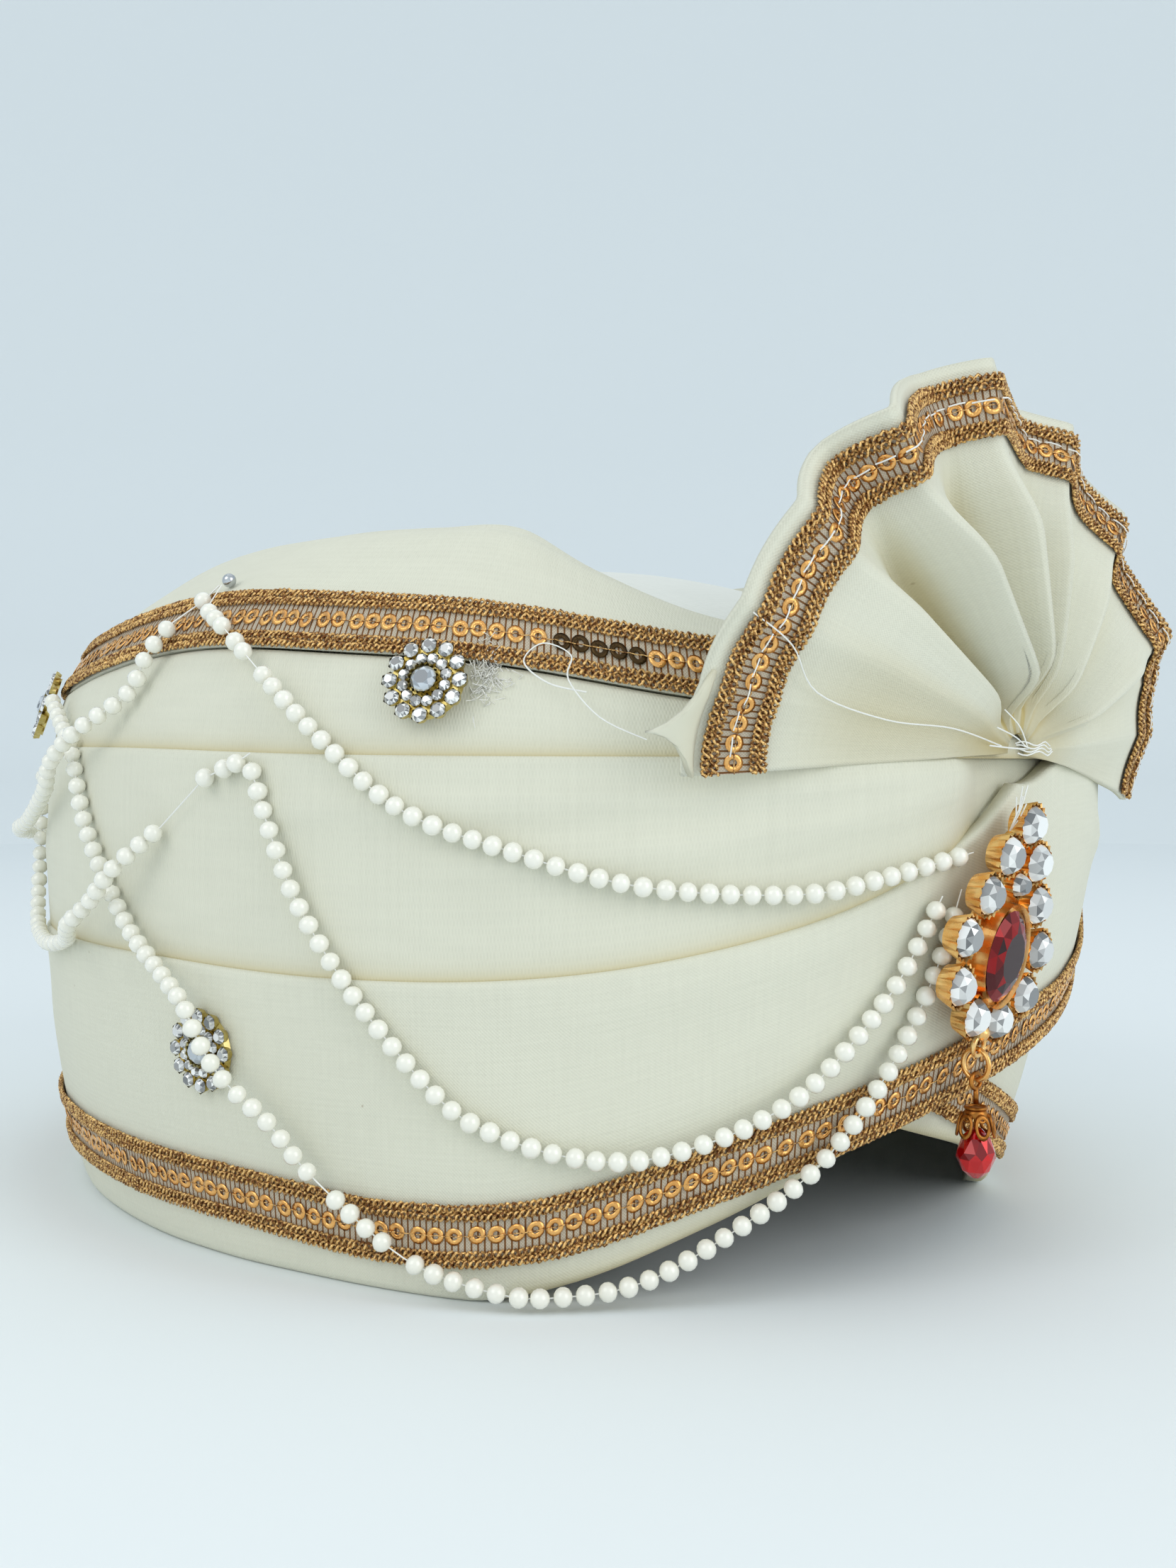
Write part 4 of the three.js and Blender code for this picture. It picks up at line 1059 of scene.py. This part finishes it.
# The pearl strings. Small pearl-coated beads on a thin thread, pinned at their ends and hung in
# swags over the cloth, the trims and one button. A steel pin's round head holds the top garland.
PEARL, PEARL_SIDES, PEARL_ROWS = 3.4, 10, 7
CROSSING, OVER_BUTTON = PEARL + 0.5, 4.6
STRINGS = {
    "pearls_top_front": [
        (-79, 114.5), (-74, 110), (-67.5, 102), (-61, 91.5), (-53, 79.5), (-44, 73), (-34, 67.5), (-22, 66),
        (-14.5, 68.5), (-6.5, 72)],
    "pearls_top_back": [
        (-83.5, 112.5), (-85, 107), (-87, 99.5), (-92, 92.5, CROSSING), (-97, 87, CROSSING),
        (-102, 81.5, CROSSING / 2), (-113, 75, CROSSING / 2), (-119, 73, CROSSING), (-126, 71.5, CROSSING),
        (-137, 70), (-148, 71), (-160, 74)],
    "pearls_middle_front": [
        (-67.8, 87), (-65, 73.5), (-62, 62), (-56.5, 47.5), (-49.5, 33), (-45, 28), (-40, 25.2), (-35, 24.5),
        (-30, 26.5), (-24.7, 30.5), (-20, 36.5), (-14, 49), (-10.8, 60), (-9.5, 65)],
    "pearls_middle_back": [
        (-79, 75.5), (-83.5, 68, CROSSING), (-87.5, 61.8, CROSSING), (-92, 57, CROSSING), (-98, 53),
        (-105, 51), (-113, 52.5), (-118, 58), (-121.5, 66), (-123.5, 76), (-123.5, 86)],
    "pearls_low": [
        (-109, 100), (-103, 94.5), (-97, 88.5), (-92.4, 74.4), (-84.7, 58.3), (-77.2, 50, OVER_BUTTON / 2),
        (-73.3, 46, OVER_BUTTON), (-71.5, 40, OVER_BUTTON), (-68.8, 34, OVER_BUTTON),
        (-65, 27, OVER_BUTTON / 2), (-61, 18.8), (-52.3, 7.2), (-44.5, 3), (-39.5, 2.7), (-34.5, 4),
        (-29.4, 8.7), (-20.8, 20.3), (-15.5, 32.3), (-11.5, 44), (-9.2, 55), (-7.6, 66)],
}
LOOSE_ENDS = {
    "pearls_middle_back": [(-73, 84.3), (-70.7, 85.9), (-69.3, 86.8), (-67.8, 88.5)],
    "pearls_top_front": [(-80.8, 119.5)],
    "pearls_top_back": [(-82, 116.5), (-81.2, 119.5)],
}
GAPS = {"pearls_top_front": (3, 5), "pearls_low": (37, 41)}
SEATED, TRIM_RISE, TRIM_SLOPE = PEARL / 2 + 0.4, 1.6, 5
STRING_STEPS, THREAD_STEPS, STRING_THREAD = 24, 90, 0.3

pearl_finish, flow, sockets = new_finish("pearl_coat", {
    "Coat Weight": 1.0, "Coat Roughness": 0.05, "Specular IOR Level": 0.7})
bloom = flow.mottle(260.0)
bloom.mix(colour(236, 234, 220), colour(248, 246, 236)).into(sockets["Base Color"])
(0.16 + bloom * 0.14).into(sockets["Roughness"])


def over_trim(angle, height):
    near = min(abs(height - upper_trim_line(side(angle))), abs(height - lower_trim_line(angle)))
    reach = TRIM_WIDTH / 2 + PEARL
    return TRIM_RISE * (1 - ramp(near, reach, reach + TRIM_SLOPE))


def along_line(line, run, distance):
    return Vector([float(np.interp(distance, run, [point[k] for point in line])) for k in range(3)])


def pearl(bm, radius, frame_at):
    bmesh.ops.create_uvsphere(bm, u_segments=PEARL_SIDES, v_segments=PEARL_ROWS, radius=radius * MM,
                              matrix=frame_at)


for name, rows in STRINGS.items():
    chance = random.Random(name)
    points = []
    for angle, height, *lift in rows:
        out = SEATED + max(lift[0] if lift else 0, over_trim(angle, height))
        points.append(at(angle, wall_radius(angle, height) + out, height))
    line = soft_line(points, STRING_STEPS)
    run = run_along(line)
    bm = bmesh.new()
    distance, count = PEARL / 2, 0
    while distance < run[-1] - PEARL / 2 + 0.3:
        heading = along_line(line, run, distance + 1) - along_line(line, run, distance - 1)
        turned = heading.to_track_quat("Z", "Y").to_matrix().to_4x4()
        size = PEARL / 2 * chance.uniform(0.97, 1.03)
        squat = Matrix.Diagonal((1, 1, chance.uniform(0.9, 0.97), 1))
        pearl(bm, size, Matrix.Translation(along_line(line, run, distance)) @ turned @ squat)
        count += 1
        distance += PEARL * chance.uniform(0.98, 1.08)
        if count in GAPS.get(name, ()):
            distance += chance.uniform(2.5, 4.5)
    thread = [[along_line(line, run, step * run[-1] / THREAD_STEPS) for step in range(THREAD_STEPS + 1)]]
    if name in LOOSE_ENDS:
        loose = [at(angle, wall_radius(angle, height) + SEATED, height) for angle, height in LOOSE_ENDS[name]]
        thread.append([line[0]] + loose)
        for spot in loose[:-1]:
            pearl(bm, PEARL / 2, Matrix.Translation(spot))
    smooth_faces(bm)
    take_in(bm, cord_mesh(thread, STRING_THREAD), 1)
    piece_from(bm, name + "_beads", [pearl_finish, thread_finish], "turban", "pearl", name)

PIN_ANGLE, PIN_HEIGHT, PIN_RADIUS, PIN_OUT = -81, 120, 1.3, 0.8
pin_finish = metal_finish("bright_steel", colour(170, 174, 178), colour(226, 230, 234), 0.12)
bm = bmesh.new()
bmesh.ops.create_uvsphere(bm, u_segments=20, v_segments=12, radius=PIN_RADIUS,
                          matrix=seat(PIN_ANGLE, PIN_HEIGHT, PIN_OUT))
smooth_faces(bm)
piece_from(bm, "pin_head_steel", [pin_finish], "turban", "steel", "pin_head")

# The stage. A pale paper sweep, curved up behind the object, under soft studio lamps.
CAMERA_TURN = math.radians(-40)
ahead = Vector((-math.sin(CAMERA_TURN), math.cos(CAMERA_TURN), 0))
right = Vector((math.cos(CAMERA_TURN), math.sin(CAMERA_TURN), 0))
PAPER_SPREAD, FLOOR = math.radians(150), 1.5
PROFILE = [(FLOOR, 0.0), (1.9, 0.06), (2.15, 0.25), (2.3, 0.6), (2.35, 1.1), (2.35, 2.2)]
CAMERA_BACK, CAMERA_RIGHT, CAMERA_HEIGHT, CAMERA_TILT, LENS = 0.373, 0.0043, 0.0869, 89.25, 37.43
LAMP_AIM = AXIS + Vector((0, 0, 0.07))
bm = bmesh.new()
bmesh.ops.create_circle(bm, cap_ends=True, segments=64, radius=FLOOR)
start_turn = Matrix.Rotation(math.atan2(ahead.y, ahead.x) - PAPER_SPREAD / 2, 4, "Z")
paper = [bm.verts.new(start_turn @ Vector((radius, 0, height))) for radius, height in PROFILE]
paper_edges = [bm.edges.new(pair) for pair in zip(paper, paper[1:])]
bmesh.ops.spin(bm, geom=paper + paper_edges, cent=(0, 0, 0), axis=(0, 0, 1), angle=PAPER_SPREAD, steps=40)
bmesh.ops.recalc_face_normals(bm, faces=bm.faces)
for face in bm.faces:
    face.smooth = len(face.verts) == 4
sweep_mesh = bpy.data.meshes.new("paper_sweep")
bm.to_mesh(sweep_mesh)
bm.free()
sweep = bpy.data.objects.new("paper_sweep", sweep_mesh)
bpy.context.collection.objects.link(sweep)
paper_finish, _, _ = new_finish("pale_paper", {
    "Base Color": colour(236, 241, 243), "Roughness": 0.8, "Specular IOR Level": 0.2})
sweep_mesh.materials.append(paper_finish)

world = bpy.data.worlds.new("studio")
bpy.context.scene.world = world
world.use_nodes = True
daylight = world.node_tree.nodes["Background"].inputs
daylight["Color"].default_value = colour(222, 231, 236)
daylight["Strength"].default_value = 0.97


def lamp(name, where, size, power, tint):
    light = bpy.data.lights.new(name, "AREA")
    light.shape = "RECTANGLE"
    light.size, light.size_y = size
    light.energy = power
    light.color = tint
    holder = bpy.data.objects.new(name, light)
    bpy.context.collection.objects.link(holder)
    holder.location = where
    holder.rotation_euler = (LAMP_AIM - where).to_track_quat("-Z", "Y").to_euler()


lamp("key", AXIS - ahead * 0.8 - right * 0.8 + Vector((0, 0, 0.85)), (0.9, 0.9), 3.6, (1, 0.99, 0.95))
lamp("fill", AXIS - ahead * 0.9 + right * 1.0 + Vector((0, 0, 0.6)), (0.9, 1.1), 5.4, (1, 0.99, 0.97))
lamp("top", AXIS + ahead * 0.35 + Vector((0, 0, 1.5)), (1.3, 1.3), 1.5, (0.98, 0.99, 1))

camera_data = bpy.data.cameras.new("photo_view")
camera_data.lens = LENS
camera_data.sensor_width = 36
camera_data.clip_start = 0.01
camera = bpy.data.objects.new("photo_view", camera_data)
bpy.context.collection.objects.link(camera)
camera.location = AXIS - ahead * CAMERA_BACK + right * CAMERA_RIGHT + Vector((0, 0, CAMERA_HEIGHT))
camera.rotation_euler = (math.radians(CAMERA_TILT), 0, CAMERA_TURN)
bpy.context.scene.camera = camera
bpy.context.scene.view_settings.view_transform = "Standard"
